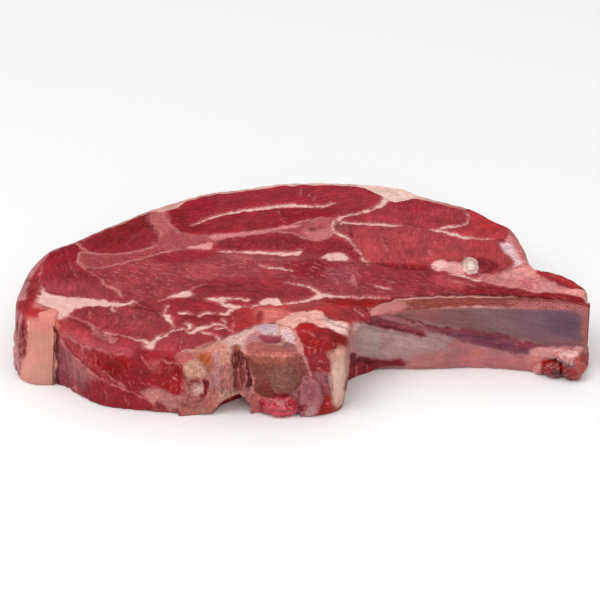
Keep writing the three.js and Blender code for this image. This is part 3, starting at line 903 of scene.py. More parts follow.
@dataclass(frozen=True)
class Finish:
    """A tissue's finish: how its tone varies, how it shines and how rough it feels.

    Attributes:
        name: The material's name.
        roughness: Roughness of the surface.
        coat: Weight of the film of moisture on it.
        subsurface: Weight of the light that spreads below it.
        blotch: How strongly the tone swings in blotches.
        streak: How strongly it swings in streaks along the fibres.
        streak_size: A streak's length and width, in millimetres.
        speck: How strongly it swings in specks.
        speck_size: A speck's size, in millimetres.
        fat: Tone of fat that is laid over it.
        film: Tone of membranes, and of the pale flecks, which are partly fat and partly painted glints.
        pore: Tone of its pores.
        pore_size: A pore's size, in millimetres.
        relief: Height of its fine bumps, in millimetres.
        specular: How strongly it mirrors.
        blotch_size: A blotch's size, in millimetres.
        fray_size: Size of the noise that frays the borders of fat and film, in millimetres.
        patch_size: Size of the gaps in them, in millimetres.
        fleck_size: A fleck's length, width and height, in millimetres.
        coat_roughness: Roughness of the film of moisture.
        spread: How far light spreads below the surface, in millimetres.
        spread_shares: Shares of that for red, green and blue.
    """

    name: str
    roughness: float = 0.45
    coat: float = 0.03
    subsurface: float = 0.06
    blotch: float = 0.6
    streak: float = 0.5
    streak_size: tuple[float, float] = (5.0, 0.8)
    speck: float = 0.45
    speck_size: float = 0.9
    fat: str = "#e8b8b0"
    film: str = "#c4716f"
    pore: str = "#5a2422"
    pore_size: float = 0.7
    relief: float = 0.09
    specular: float = 0.14
    blotch_size: float = 7.0
    fray_size: float = 1.1
    patch_size: float = 3.2
    fleck_size: tuple[float, float, float] = (2.4, 0.6, 3.0)
    coat_roughness: float = 0.25
    spread: float = 1.2
    spread_shares: tuple[float, float, float] = (1.0, 0.35, 0.25)

    def build(self) -> bpy.types.Material:
        """Build the material.

        The painted tone is multiplied by e to the sum of three noises round nought: the blotches, the
        streaks along the fibres and the specks. Pale flecks, partly fat and partly painted glints, and film and
        fat are laid over it where their painted value, frayed by noise, passes a soft threshold.

        Returns:
            The material.
        """
        material = bpy.data.materials.new(self.name)
        material.use_nodes = True
        tree = material.node_tree
        tree.nodes.clear()
        node = partial(add_node, tree)

        def noise(where: object, size: Sequence[float], detail: float) -> bpy.types.NodeSocket:
            """Make noise round nought, of places divided by a feature's size along each axis."""
            scaled = node("VectorMath", {0: where, 1: [1 / s for s in size]}, operation="MULTIPLY")
            cloud = node("TexNoise", {"Vector": scaled, "Scale": 1.0, "Detail": detail})
            return node("Math", {0: cloud, 1: 0.5}, operation="SUBTRACT")

        def add_up(base: object, *terms: tuple[float, object]) -> bpy.types.NodeSocket:
            """Add values, each times its amount, onto a base."""
            for amount, value in terms:
                base = node("Math", {0: value, 1: amount, 2: base}, operation="MULTIPLY_ADD")
            return base

        def mask(value: object, low: float, high: float, share: object) -> bpy.types.NodeSocket:
            """Rise smoothly from 0 where a value is low to a share where it is high."""
            limits = {"Value": value, "From Min": low, "From Max": high}
            rise = node("MapRange", limits, interpolation_type="SMOOTHSTEP")
            return node("Math", {0: rise, 1: share}, operation="MULTIPLY")

        place = node("TexCoord", out="Object")
        grain = node("Attribute", out="Vector", attribute_name="grain")
        tint = node("Attribute", out="Color", attribute_name="tint")
        marbling_and_glints, pores, film, fat = (
            node("Attribute", out="Fac", attribute_name=label) for label in ("marbling_and_glints", "pores", "film", "fat")
        )
        long, thin = self.streak_size
        blotch = noise(place, [self.blotch_size * MM] * 3, 3.0)
        streak = noise(grain, (long, thin, 6.0), 3.0)
        speck = noise(place, [self.speck_size * MM] * 3, 2.0)
        fray = noise(place, [self.fray_size * MM] * 3, 4.0)
        patch = noise(place, [self.patch_size * MM] * 3, 2.0)
        hole = noise(place, [self.pore_size * MM] * 3, 1.0)
        fleck = noise(grain, self.fleck_size, 2.0)

        swings = add_up(0.0, (2 * self.blotch, blotch), (2 * self.speck, speck), (2 * self.streak, streak))
        shade = node("Math", {0: 2.718, 1: swings}, operation="POWER")
        fat_shade = add_up(1.0, (0.18, speck), (0.25, blotch))
        fat_tone = node("VectorMath", {0: linear(self.fat), 3: fat_shade}, operation="SCALE")
        film_tone, pore_tone = (*linear(self.film), 1), (*linear(self.pore), 1)

        holes = mask(hole, 0.03, 0.14, pores)
        fat_edge = add_up(fat, (1.8, fray), (1.1, patch))
        fat_cover = mask(fat_edge, -0.25, 0.55, add_up(0.9, (0.9, patch)))
        layers = (
            # Pale flecks along the grain, partly fat and partly painted glints.
            (mask(fleck, 0.06, 0.2, marbling_and_glints), film_tone),
            (holes, pore_tone),
            (mask(add_up(film, (1.2, fray)), -0.3, 0.25, mask(patch, -0.22, 0.12, 0.8)), film_tone),
            (mask(fat_edge, -1.3, 0.1, 0.6), film_tone),
            (fat_cover, fat_tone),
        )
        colour = node("VectorMath", {0: tint, 3: shade}, operation="SCALE")
        for share, above in layers:
            colour = node("Mix", {0: share, 6: colour, 7: above}, 2, data_type="RGBA")

        height = add_up(fray, (0.6, speck), (0.7, streak), (-0.5, holes))
        looks = {
            "Base Color": colour,
            "Roughness": add_up(self.roughness, (0.08, fat_cover), (0.3, blotch)),
            "Normal": node("Bump", {"Strength": 1.0, "Distance": self.relief * MM, "Height": height}),
            "Coat Weight": self.coat,
            "Coat Roughness": self.coat_roughness,
            "Subsurface Weight": self.subsurface,
            "Subsurface Radius": self.spread_shares,
            "Subsurface Scale": self.spread * MM,
            "Specular IOR Level": self.specular,
        }
        node("OutputMaterial", {"Surface": node("BsdfPrincipled", looks)})
        return material


# Each muscle's tone, the direction of its fibres in degrees and its share of pale flecks, which are
# partly fat and partly painted glints.
MUSCLE_LOOKS = {
    "infraspinatus": ("#9b313c", 20, 0.2),
    "supraspinatus": ("#8a2932", 60, 0.18),
    "trapezius": ("#963139", 84, 0.15),
    "rhomboideus": ("#8d2f38", 100, 0.2),
    "serratus": ("#973e45", -35, 0.55),
    "intercostal_band": ("#8f333b", -24, 0.4),
    "subscapularis": ("#8f2f38", 70, 0.25),
    "coracoid_muscle": ("#96464a", 0, 0.15),
    "teres_major": ("#a23c44", 80, 0.2),
    "latissimus": ("#ac464b", 88, 0.2),
    "outer_strip": ("#ac3b42", 60, 0.25),
    "longissimus": ("#97393f", 75, 0.3),
    "flank_wedge": ("#9a383d", -30, 0.15),
    "multifidus": ("#9e3e45", 60, 0.2),
    "semispinalis": ("#973138", -20, 0.2),
    "spinalis": ("#98363b", 0, 0.2),
    "rotator": ("#98383c", 0, 0.15),
    "rib_head_muscle": ("#a83a3e", -12, 0.2),
}
# Darker and paler patches within the muscles: partly their own tone, and partly painted light and shade,
# brighter red where the moist surface catches the light and darker where it doesn't.
SHADES = [
    Area([(-38, 27), (-30, 34.5), (-15, 40), (3, 42), (13, 43), (14, 36), (4, 33.6), (-8, 26.6), (-20, 23.2),
        (-33, 21), (-40, 22.5)], "#952d35", 0.9),
    Area([(-48, 36), (-45, 28.6), (-41, 22), (-36, 20.6), (-36.5, 28), (-40, 33), (-43, 40)], "#7c1822", 3, 0.7),
    Area([(-44, 42), (-36, 48), (-30, 44), (-34, 36), (-42, 36)], "#901f2e", 3, 0.7),
    Area([(-30, 26), (-18, 26), (-8, 29), (-14, 33), (-26, 31)], "#9d3639", 3, 0.6),
    Area([(-8, 27), (4, 33.6), (12, 35), (6, 38), (-6, 33)], "#861f28", 2.5, 0.6),
    Area([(14, 58), (26, 53), (29, 47), (24, 40), (14, 36), (12, 45)], "#99353d", 4),
    Area([(-72, 22), (-68, 27), (-56, 33), (-54, 27), (-58, 22), (-66, 20)], "#822029", 3, 0.8),
    Area([(-69, 19), (-63, 19), (-62, 14), (-68, 13)], "#761c25", 3, 0.7),
    Area([(-70, 8), (-58, 10), (-52, 14), (-52, 24), (-58, 22), (-62, 12)], "#94303a", 2.5, 0.8),
    Area([(-89, 3), (-85, 11), (-80, 15), (-77, 8), (-79, 0), (-88, 0)], "#8b2430", 3),
    Area([(-88, -14), (-64, -16), (-62, -25), (-86, -21)], "#993f47", 4),
    Area([(-95, -2), (-90, 2), (-90, -12), (-95, -12)], "#a1363d", 3),
    Area([(-72, -6), (-62, -3), (-52, 2), (-42, 3), (-38, -8), (-40, -17), (-48, -23), (-60, -25), (-66, -12)],
        "#983d44", 3, marbling_and_glints=0.7),
    Area([(-52, 3), (-44, 8), (-34, 9), (-30, 6), (-38, 1), (-48, 0)], "#96303a", 1.5, marbling_and_glints=0.1),
    Area([(-36, -1), (-20, 0), (-14, -8), (-24, -14), (-38, -10)], "#a2464d", 3, 0.8, marbling_and_glints=0.6),
    Area([(-36, -15), (-20, -10), (-2, -12), (4, -20), (-4, -25), (-24, -24), (-36, -22)], "#90333b", 2, marbling_and_glints=0.2),
    Area([(-28, 6), (-8, 5), (2, 2), (0, -1), (-14, 2), (-26, 3)], "#a5565a", 1.5, 0.7),
    Area([(-4, 1), (10, 1), (15, -5), (6, -10.5), (-4, -7)], "#88252f", 2, 0.85),
    Area([(8, -5), (19, -3), (20, -14), (12, -14)], "#a04e58", 2, 0.7, marbling_and_glints=0.9),
    Area([(20, -5), (34, -7), (45, -8), (45, -15), (30, -17), (20, -14)], "#91353e", 3),
    Area([(46, -9), (58, -13), (65, -16.6), (60, -19.4), (46, -14)], "#b64a50", 2, 0.9),
    Area([(58, -15), (70, -19), (80, -21.6), (94, -24.8), (78, -24.4), (56, -22.6)], "#85242c", 1.4),
    Area([(26, 0), (45, -3), (45, -5), (32, -4)], "#7e1c26", 1.2, 0.9),
    Area([(62, 17), (70, 13), (70, 5), (62, 6), (58, 12)], "#ae3f44", 4, 0.8),
    Area([(62, 4), (69, -1), (66, -7), (62.5, -5)], "#8a2a34", 1.2),
    Area([(66, 36), (72, 27), (70, 22), (64, 28)], "#a33034", 2.5, 0.7),
    Area([(34, 47), (44, 48), (52, 44), (44, 38), (34, 40)], "#98303a", 3, 0.8),
    Area([(-60, -31), (-50, -34), (-46, -41), (-52, -47), (-60, -40)], "#9a4146", 3, marbling_and_glints=0.25),
    Area([(-22, -31), (-12, -31), (-12, -42), (-20, -46)], "#a8383c", 2.5),
    Area([(-14, -32), (-7, -32), (-3, -35), (-7, -39), (-13, -40)], "#dc7a76", 3, 0.9),
    Area([(-4, -28), (8, -26.4), (14, -27), (6, -30.5), (-4, -32)], "#9c4446", 1.5),
    Area([(8, -27), (20, -25), (32, -25), (28, -29), (18, -30)], "#8a1c24", 1.2),
    Area([(9, -35), (18, -30.4), (24, -31), (27, -34), (22, -40), (13, -40)], "#9a363a", 1.2, fibre=-55),
]
# Fat seams between the muscles: each place along a seam with its width there.
FAT_SEAMS = [
    [(-38.5, 27.5, 0.4), (-34, 32, 0.8), (-30, 35.1, 1), (-22, 38.5, 1.5), (-15, 40.5, 2), (-8, 42.5, 2.3),
        (-3, 43, 2.5), (3, 42.5, 1.7), (9, 42.7, 1.1), (12, 45, 0.4)],
    [(-88, -17, 0.3), (-87, -19.4, 0.7), (-86, -21, 0.9)],
    [(-68, -13, 0.2), (-66, -15.6, 0.7), (-63.6, -17.6, 0.6), (-61.6, -20.6, 0.7), (-60.6, -24, 0.4)],
    [(-65, -46.4, 0.4), (-63, -47.6, 1), (-61, -48.2, 0.4)],
    [(-56, -50.6, 0.3), (-53, -51.7, 0.9), (-50.5, -52.8, 1.5), (-49, -54.5, 2.4), (-48.4, -56.5, 1.4),
        (-48, -58, 0.5)],
    [(-63, -30, 1.2), (-62.6, -33, 0.8)],
    [(-44.8, -29.6, 0.4), (-45, -33, 0.6), (-45.6, -34.8, 0.9), (-44.6, -36.5, 1.6), (-43.6, -38.6, 1.4),
        (-42.6, -41, 0.8), (-42, -44, 0.4)],
    [(-36.5, -46.4, 0.3), (-38, -44.8, 0.4), (-41, -45.1, 0.6), (-44, -48, 0.9), (-46.5, -50.4, 1.2),
        (-48, -52.5, 1.9), (-49, -55, 2.2)],
    [(-40.5, -34.3, 0.6), (-38, -34.2, 0.8), (-36.4, -35.2, 0.4)],
    [(-33.6, -35.8, 0.8), (-31.4, -34.4, 1.1), (-29.4, -34.4, 0.8)],
    [(-26.6, -34.5, 1.4), (-24.4, -34.8, 1.7), (-23.6, -32.8, 1.5), (-22.6, -31, 1.8), (-20.6, -30, 1.3),
        (-18.4, -30, 0.4)],
    [(-38, -41, 1), (-36.4, -42.6, 1.4), (-37, -44.4, 0.7)],
    [(-36, -46.6, 2), (-33.6, -45, 2.6), (-31.4, -43.6, 2), (-29, -42.2, 1.2), (-26.4, -41.6, 0.9),
        (-25.4, -42.6, 0.5)],
    [(-32, -46.6, 1.4), (-29.6, -48, 0.7)], [(-28, -44.6, 0.6), (-25, -43.8, 0.7), (-23, -45.6, 0.4)],
    [(-27.6, -48.6, 0.4), (-26.6, -50.6, 0.8), (-27, -51.6, 0.4)], [(-25.6, -39.2, 0.9), (-24.8, -40.4, 0.6)],
    [(-14, -1, 0.6), (-11, -3, 0.9), (-8, -3.4, 1.1), (-5, -4.2, 0.8), (-2.5, -5.6, 0.4)],
    [(-16.5, -30.4, 0.5), (-14, -28.8, 0.9), (-12, -28, 0.9)],
    [(-7, -28, 1.3), (-3, -27.6, 0.8), (0, -26.8, 0.9), (3, -25.4, 1.6), (6, -23.4, 2), (8, -22, 2.2),
        (11, -22.8, 1.7), (15, -23.4, 1), (22, -23.6, 0.7), (30, -24, 0.4)],
    [(7, -22.4, 1.5), (5.6, -20, 1.3), (4, -17.6, 1.1), (1, -15.6, 0.9), (-2, -14.4, 0.6), (-5, -13.6, 0.3)],
    [(-28, 8.6, 0.5), (-24, 8.4, 0.8), (-18, 8.2, 1.2), (-12, 7.6, 1.4), (-6, 7.2, 2.2), (-1, 7.4, 2.4),
        (0.5, 9.5, 0.6)],
    [(12, 30, 1.4), (11.5, 26, 1), (12.2, 22.5, 1), (14.5, 20.5, 1.7), (16.5, 18.5, 1.2), (18.5, 14, 0.7),
        (20, 10, 0.6), (21.5, 5, 0.8), (22.6, 2, 1.3), (23.6, 0.2, 0.7)],
    [(15, 30.3, 0.8), (20, 29.2, 1.5), (26, 28.8, 1.5), (33.5, 27.8, 1.2), (36, 27.6, 0.4)],
    [(13.8, 32, 1.4), (15, 34, 1.4), (19, 36, 1), (24, 38.6, 1.2), (27.5, 41.4, 1.6), (30, 44.5, 2.2), (31.5, 48, 3)],
    [(46, 24.4, 0.5), (49, 24, 1.1), (52, 22.6, 1.7), (55.6, 20.4, 2.1), (58.6, 18.6, 1.7), (61, 18.4, 0.8),
        (68, 17.2, 0.4)],
    [(50.4, 25.6, 1.4), (54, 26.8, 1.5), (58, 27.8, 1.1), (60.2, 31, 0.6), (60, 37, 0.4)],
    [(26, -16, 0.4), (29, -17.2, 0.8), (31, -18, 0.5)],
    [(52, -8, 0.6), (57, -9.4, 1.3), (60, -11.6, 1.5), (63, -13, 0.8)],
]
# The wide seam behind the block of dried fat.
SEAM_PAD = [
    (-88, -18.4), (-86.6, -20.4), (-85, -21.4), (-83, -22.6), (-80, -23.7), (-77.5, -23.5), (-74, -24.1), (-70, -24.9),
    (-66, -26), (-62, -27.3), (-58, -27.2), (-56.2, -26.2), (-55.6, -27.4), (-56.4, -28.8), (-60, -29.6), (-62, -30.4),
    (-64, -30), (-70, -29.8), (-74, -30.8), (-76.4, -32.6), (-76.8, -34.6), (-77.6, -37), (-79.6, -38), (-80.6, -36.4),
    (-81.4, -33), (-83, -31.4), (-85, -29.8), (-88, -28.4), (-89.2, -26.6), (-88.4, -24.6), (-89.4, -22.6),
    (-87.6, -21.6), (-89, -19.6),
]
# Wider deposits of fat, as closed outlines.
FAT_PADS = [
    SEAM_PAD,
    [(-47.4, -25.9), (-44, -23.4), (-40.6, -20.6), (-38, -19.8), (-36.6, -21.6), (-36.6, -23.4), (-39, -24),
        (-44, -24.7)],
    [(-32.4, -25.6), (-29, -24.4), (-25, -24.1), (-21, -24.4), (-17, -26), (-18.6, -26.5), (-22, -25.3),
        (-24.6, -25.6), (-24.8, -27.6), (-22.6, -29.2), (-20.6, -29.8), (-22, -31.2), (-24.6, -30.6), (-27.6, -28),
        (-30, -26.4)],
    [(-13.6, -27.5), (-12.4, -25.4), (-9.6, -24.6), (-7.4, -25.6), (-6.6, -27.6), (-8, -29), (-11, -28.6),
        (-12.8, -28.4)],
    [(8, 3.5), (9.5, 6), (13, 7.2), (15.5, 6), (17, 3), (15, 1.5), (11, 2)],
]
# Membranes between the muscles, as strokes.
FILMS = [
    [(-79, 14, 1.2), (-77, 11.5, 1.1), (-75, 8.5, 1.2)],
    [(-90, 2, 0.6), (-89.5, -4, 0.6), (-89.4, -12, 0.7), (-88, -18, 0.9)],
    [(-77, -1, 0.4), (-73, -6, 0.6), (-69.6, -10.4, 0.6), (-66.6, -14.4, 0.9)],
    [(-77, -36.5, 1), (-74, -38.5, 0.8), (-71, -40.6, 1), (-68.6, -43, 0.9), (-66, -45.6, 1.2), (-62, -47.6, 1),
        (-58, -49.6, 0.7), (-54, -51.4, 1.2)],
    [(-71, -40.6, 0.5), (-69, -44, 0.8), (-67, -47, 0.9), (-63, -49, 0.8), (-61, -51.4, 0.8), (-58, -53, 0.5)],
    [(-80, 0, 0.4), (-78.5, -5, 0.6), (-76, -10, 0.4)], [(-65, -34.8, 0.6), (-60.6, -34.4, 0.5)],
    [(-70.5, -33.6, 0.5), (-70.2, -38.4, 0.5)],
    [(-79.6, -46, 0.6), (-74, -45.4, 0.8), (-69, -47, 1), (-64, -50, 1.1), (-60, -51.6, 0.9)],
    [(-61, -38, 0.4), (-61.4, -42, 0.4)], [(-56.4, -34, 0.3), (-55, -38, 0.4)],
    [(-38, -20, 0.9), (-36.5, -17.5, 1), (-34.5, -15.5, 0.8), (-32, -15, 0.4)],
    [(-22.4, -37.5, 0.4), (-22, -43, 0.5), (-22.4, -48.4, 0.7)], [(-39.4, -49, 0.4), (-38.6, -54, 0.5)],
    [(-55.8, -27.6, 0.6), (-52, -30.8, 0.5), (-48.4, -32.4, 0.5)],
    [(-27, 7.6, 0.6), (-20, 7, 1.2), (-15, 6.9, 0.8), (-4, 5.6, 1.2)],
    [(25, -11, 0.4), (29, -12.6, 0.6), (33, -14, 0.4)], [(18.2, -9, 0.9), (18.4, -13, 1.4), (18.8, -16.4, 0.8)],
    [(12, -10, 0.5), (12.6, -14.6, 0.6)], [(50, -11.4, 0.6), (53, -13, 0.9), (57, -15, 0.9), (61, -17, 0.6)],
    [(5, 46.5, 0.5), (6, 50, 0.5), (5.5, 53, 0.4)], [(3, 50, 0.5), (4.5, 53.5, 0.4)], [(0, 50, 0.4), (0.5, 57, 0.3)],
    [(29, 14, 0.5), (28.8, 19, 0.4)], [(30.5, 8, 0.6), (30, 13, 0.4)], [(45.5, 9, 0.8), (45.8, 5.6, 0.6)],
    [(13, -32, 0.5), (14.4, -34, 0.5)], [(18.4, -31.4, 0.7), (20, -34.6, 0.6), (21.6, -36.6, 0.4)],
    [(23, -31, 0.6), (23.8, -34.8, 0.5)], [(-8, 38, 0.5), (-7, 33, 0.5), (-5, 29, 0.4)],
    [(62, -8, 1.6), (66, -9.4, 1.8), (69, -9, 1.2)],
    [(1, -45.2, 0.5), (2, -46.4, 1.4), (3.6, -47.4, 1.2), (4.4, -49.6, 0.5)],
    [(0, -54, 0.3), (3, -56.6, 0.5), (5, -58, 0.5)], [(11, -54.4, 0.5), (12.4, -57, 1.2)],
]
# The blade bone: a pale rim, its spongy inside and its paler ridges.
BONES = [
    Area(REGIONS["blade_bone"], "#c57b79", 0.45, 1, 0.1, marbling_and_glints=0),
    Area(REGIONS["blade_bone"], "#a84b51", 0.6, 1, -0.8, pores=0.9, marbling_and_glints=0.3),
    Area([(-52, 12), (-44, 10), (-32, 11), (-28, 17), (-22, 21), (-34, 20), (-46, 22), (-50, 18)], "#ac555a", 1.5, 0.9,
        pores=0.7),
    Area([(-40, 11.4), (-36, 12.6), (-31.4, 14.6), (-31.2, 10.4), (-36, 10.2)], "#d9908f", 0.6, pores=0),
    Area([(-54, 36), (-48, 38), (-47, 30), (-46, 24), (-50, 20), (-53, 28)], "#c46a6b", 1.5, 0.8, pores=0.4),
    Area([(-31, 16.6), (-26, 18), (-22, 18.8), (-15, 21.2), (-8, 24.2), (-1, 25.8), (0, 28), (-10, 25.2), (-22, 22),
        (-32, 20)], "#d88386", 0.9, 1, pores=0.3),
    Area([(1, 21), (4, 17.4), (8, 17.6), (11, 21), (11.6, 28), (10, 32), (4, 30.4)], "#ca7776", 1, pores=0.3),
    Area([(0, 25), (6, 24), (12, 27), (12, 32), (4, 30)], "#b85a5e", 1.4, 0.9, pores=0.6),
    Area([(3.2, 23), (5, 22.6), (5.6, 25), (4, 26)], "#7d3a3a", 0.5, 0.9),
    Area([(6.4, 25), (7.8, 25.4), (7.6, 27.8), (6.2, 27.4)], "#7d3a3a", 0.5, 0.8),
]
# Fat and small muscle ends where several tissues meet, and the skin along the left rim.
CORNERS = [
    Area([(45.6, -1), (47.4, 1.4), (50, 1.8), (52, 0.6), (54, 0.8), (56.4, -0.8), (57, -5), (55.4, -8.6), (51, -6.4),
        (46.4, -4.8)], "#de9d99", 0.5, marbling_and_glints=0.3),
    Area([(47, -1), (49.6, 0.6), (51, -2), (48, -3.6)], "#e8b8b4", 0.7, 0.9),
    Area([(-8, -41), (-6, -38.6), (-4.4, -36.6), (-3, -34.8), (-0.5, -34), (3, -33.1), (6, -33), (8, -34.6),
        (8.8, -37), (10.6, -39.6), (14, -40), (16, -41), (16.8, -44), (16.6, -47), (15.4, -50), (13.6, -48.2),
        (11.6, -46.6), (8.4, -43.8), (5.4, -43.6), (4, -41), (1, -41), (-1, -43.4), (-2.4, -45.4), (-4, -44.4),
        (-6, -42)], "#e0a298", 0.5, marbling_and_glints=0.25),
    Area([(8, -37), (10.4, -40), (14, -40.6), (16.2, -43), (16, -48), (13, -47), (10, -44.6)], "#e4bbb4", 0.9),
    Area([(-91, -26.6), (-86.5, -28.6), (-82, -31), (-83, -32.6), (-87, -33.8), (-90, -38), (-91.6, -33)], "#b0383c",
        0.8, marbling_and_glints=0.4),
    Area([(-89, -28.4), (-84, -29.8), (-82, -31.4), (-86, -31.8), (-89, -31.4)], "#cf7e7b", 0.8, 0.8),
    Area([(-81.6, -32.2), (-86, -33), (-89.6, -36.8), (-90.6, -45), (-81.3, -45), (-81.3, -38)], "#db8b7f", 0.4,
        marbling_and_glints=0),
    Area([(-98, -26), (-97.4, -16), (-95, -0.4), (-89, 11), (-80.6, 17.4), (-78, 15.6), (-78.7, 14.5), (-86.3, 8.4),
        (-90.4, -2), (-92.9, -16), (-93.4, -26)], "#c5888a", 0.5, 0.8, marbling_and_glints=0.6),
    Area([(-60, -29), (-54, -27.6), (-50, -30.4), (-48, -33), (-56, -31)], "#8f2a32", 1.2, 0.8),
    Area([(-28.6, -37), (-26.8, -37), (-26.8, -39), (-28.4, -39)], "#741c26", 0.5, 0.9),
    Area([(-39, -35.6), (-33.6, -36.4), (-33.4, -39.4), (-38, -39)], "#8a2b30", 1, 0.8),
    Area([(-24, -25.2), (-18.6, -26), (-15, -28), (-18, -29.4), (-23.6, -28)], "#96343a", 0.9, 0.9),
    Area([(-13.8, -33), (-12.8, -33), (-12.8, -41), (-14.4, -40)], "#8d1f26", 0.7, 0.8),
    Area([(1.6, -37), (3, -37), (3.2, -38.4), (1.8, -38.4)], "#b98a80", 0.5, 0.9),
]
# The small dark muscle right of the vertebra.
NECK = [
    Area(REGIONS["neck_muscle"], "#94242a", 0.5, 1, 0.2, fibre=60, marbling_and_glints=0.25),
    Area([(-1.4, -46), (0, -41.6), (3.4, -41.2), (5.6, -44), (4, -49), (0.6, -50)], "#a82a2f", 0.9, fibre=40),
    Area([(5, -45), (9, -45.4), (12, -49), (10, -53), (6, -51)], "#8d3032", 1.4, fibre=20),
    Area([(9, -50), (12, -47.6), (15, -52), (12, -54.6)], "#7d1c20", 0.9, 0.9),
    Area([(14, -47), (16.4, -48), (18, -58), (15.6, -58), (15, -53)], "#ab7c74", 0.7, 0.9),
]
# The vertebra's sawn top: bone, cartilage and a reddish spot.
BACKBONE_TOP = [
    Area(REGIONS["backbone"], "#cd9c92", 0.4, 1, 0.1, marbling_and_glints=0.2),
    Area([(-39, -60), (-33, -56.6), (-28, -53), (-24, -55), (-26, -62), (-39, -64)], "#c38176", 1.2),
    Area([(-24, -52), (-17, -45.4), (-15, -47), (-18, -53), (-22, -55)], "#d3a79f", 1),
    Area([(-22.6, -55), (-20.6, -54.6), (-19.4, -60), (-20.6, -63)], "#94493c", 0.6, 0.9),
    Area([(-16.6, -48), (-14, -46), (-12, -52), (-14, -58), (-18, -54)], "#b67c7e", 0.9),
    Area([(-16, -52.6), (-9, -54.6), (-2, -55.6), (0.4, -62), (-17, -63)], "#a85f58", 1),
    Area([(-5.4, -53), (-2, -53), (0, -58), (-4, -60)], "#96595a", 0.8),
    Area([(-14.6, -44), (-12.4, -42), (-8.6, -42.4), (-7.2, -45.6), (-8.6, -48.4), (-12, -48)], "#c3a3ab", 0.7),
    Area([(-13.6, -48.4), (-8.6, -49), (-6, -50), (-5.6, -52.6), (-8, -54), (-12, -53.4)], "#8a3548", 0.8, 0.95),
    Area([(-6, -45.4), (-3, -45.4), (-0.6, -51), (-1, -54.4), (-4.6, -52)], "#ddb6b8", 0.7),
    Area([(-3.4, -44), (-1.8, -45), (0.6, -55), (1.6, -60), (0, -62), (-1.6, -53)], "#cf8c86", 0.5, 0.9),
]
# The fat at the right end and the red tip in it.
BRISKET = [
    Area([(84, 24), (75, 23), (73, 18), (71, 15.4), (71.2, 9), (73.4, 3), (72, -4), (67, -8), (60, -11), (64, -14),
        (69, -16.4), (77, -19), (80, -21.4), (84, -20.6), (90, -21.4), (96, -23.6), (104, -24), (104, -20),
        (95.6, -18.4), (90.6, -17.4), (86, -12.5), (82.4, -8.4), (81.4, -4.6), (86, 0), (86, 10)], "#cf807e", 0.6,
        marbling_and_glints=1, fibre=-30),
    Area([(74.6, 24), (82, 20), (84, -1), (78.6, -2), (76.6, 8)], "#b86a6c", 0.9, 0.9),
    # Painted highlight on the fat at its left edge: its palest patch, in two layers.
    Area([(71, 14.6), (74.4, 14.2), (75.8, 7), (77, 0), (75.4, -1.8), (73.4, 4), (71.4, 9)], "#e6bfc2", 1, 0.9,
        marbling_and_glints=0.4),
    Area([(71.6, 14), (73.8, 13.6), (74, 9.6), (72, 9.8)], "#e4c2cb", 1, 0.8),
    Area([(70.6, 17.4), (72.6, 17), (72.4, 15), (71, 15)], "#742733", 0.5, 0.9),
    Area([(72, 3), (74, 2), (73.6, -2), (71.8, -3)], "#a5443f", 0.7, 0.9),
    Area([(71, -6), (79, -4), (80, -9), (74, -12), (69, -11)], "#dc928d", 1.3, 0.9),
    Area([(62, -8.6), (69, -9), (70, -12.4), (63, -12.4)], "#c4777a", 1, 0.9, marbling_and_glints=1),
    Area([(75.6, -12), (79, -12.4), (79, -18), (76, -17)], "#c0696f", 0.9, 0.9, marbling_and_glints=1),
    Area([(83, -13), (88, -15), (88, -20), (81, -19.6)], "#d58e8e", 1, 0.9),
    Area([(91, -17.8), (96, -18.8), (97.4, -21), (96, -23.6), (91, -21.4)], "#e59a92", 0.7),
    Area([(81.6, -4), (84, -3.6), (90, -7.6), (95, -12), (98.6, -17), (98, -20), (95, -18.2), (90.6, -17.2),
        (86, -12.3), (82.4, -8.2)], "#a4343a", 0.5, fibre=-40, marbling_and_glints=0.3),
    Area([(80, -22.6), (84, -21.6), (95, -24.4), (96.6, -27), (88, -26), (78, -24.6)], "#871c25", 0.8),
]
# The whitish vein's end, with a darker ring.
VEIN = [
    Area(REGIONS["vein"], "#dcb4ac", 0.4, 1, 0.2, marbling_and_glints=0),
    Area([(57.6, -2), (58.2, 2), (59.4, 3), (60.6, 1.6), (61, -3), (60.2, -6.8), (58.4, -6.6)], "#c0938a", 0.35, 0.8),
    Area([(58, -2.4), (58.6, 1), (59.4, 1.8), (60.2, 0.6), (60.4, -3), (59.8, -5.6), (58.6, -5.4)], "#e6cabf", 0.4),
]
# The rib's sawn face: a marrow core between pale edges.
RIB_TOP = [
    Area([(24, -37), (24.2, -32.6), (25.6, -30.8), (28.6, -28.2), (33, -25.8), (38, -24.4), (45, -23.4), (57, -23.1),
        (70, -23.6), (80, -24.5), (90, -26), (99.6, -28.4), (100, -36), (24, -40)], "#90463f", 0.4, pores=0.8, fibre=2,
        marbling_and_glints=0.7),
    Area([(24, -34), (25.4, -30.6), (28.6, -28), (33, -25.6), (38, -24.2), (45, -23.2), (57, -22.9), (70, -23.4),
        (74, -24.2), (57, -24.4), (45, -24.7), (36, -26), (31, -28), (27.4, -31), (26, -34), (25, -38)], "#cd8d87",
        0.4, pores=0),
    Area([(23.6, -38), (25, -31), (30, -27.6), (35, -27), (36, -31), (30, -34), (26, -37)], "#c67f7b", 1.2, 0.9,
        pores=0.1),
    Area([(28, -36), (36, -32.8), (46, -31), (60, -29.8), (72, -30.4), (80, -31), (80, -34), (30, -38)], "#c68e84",
        0.6, pores=0),
    Area([(70, -26.6), (84, -27.4), (96, -29.4), (97, -33), (76, -32)], "#b86a68", 1, 0.9, marbling_and_glints=0.6),
    Area([(90, -26), (99.6, -28), (99.6, -31), (92, -28.4)], "#9c3338", 0.6, 0.9),
]
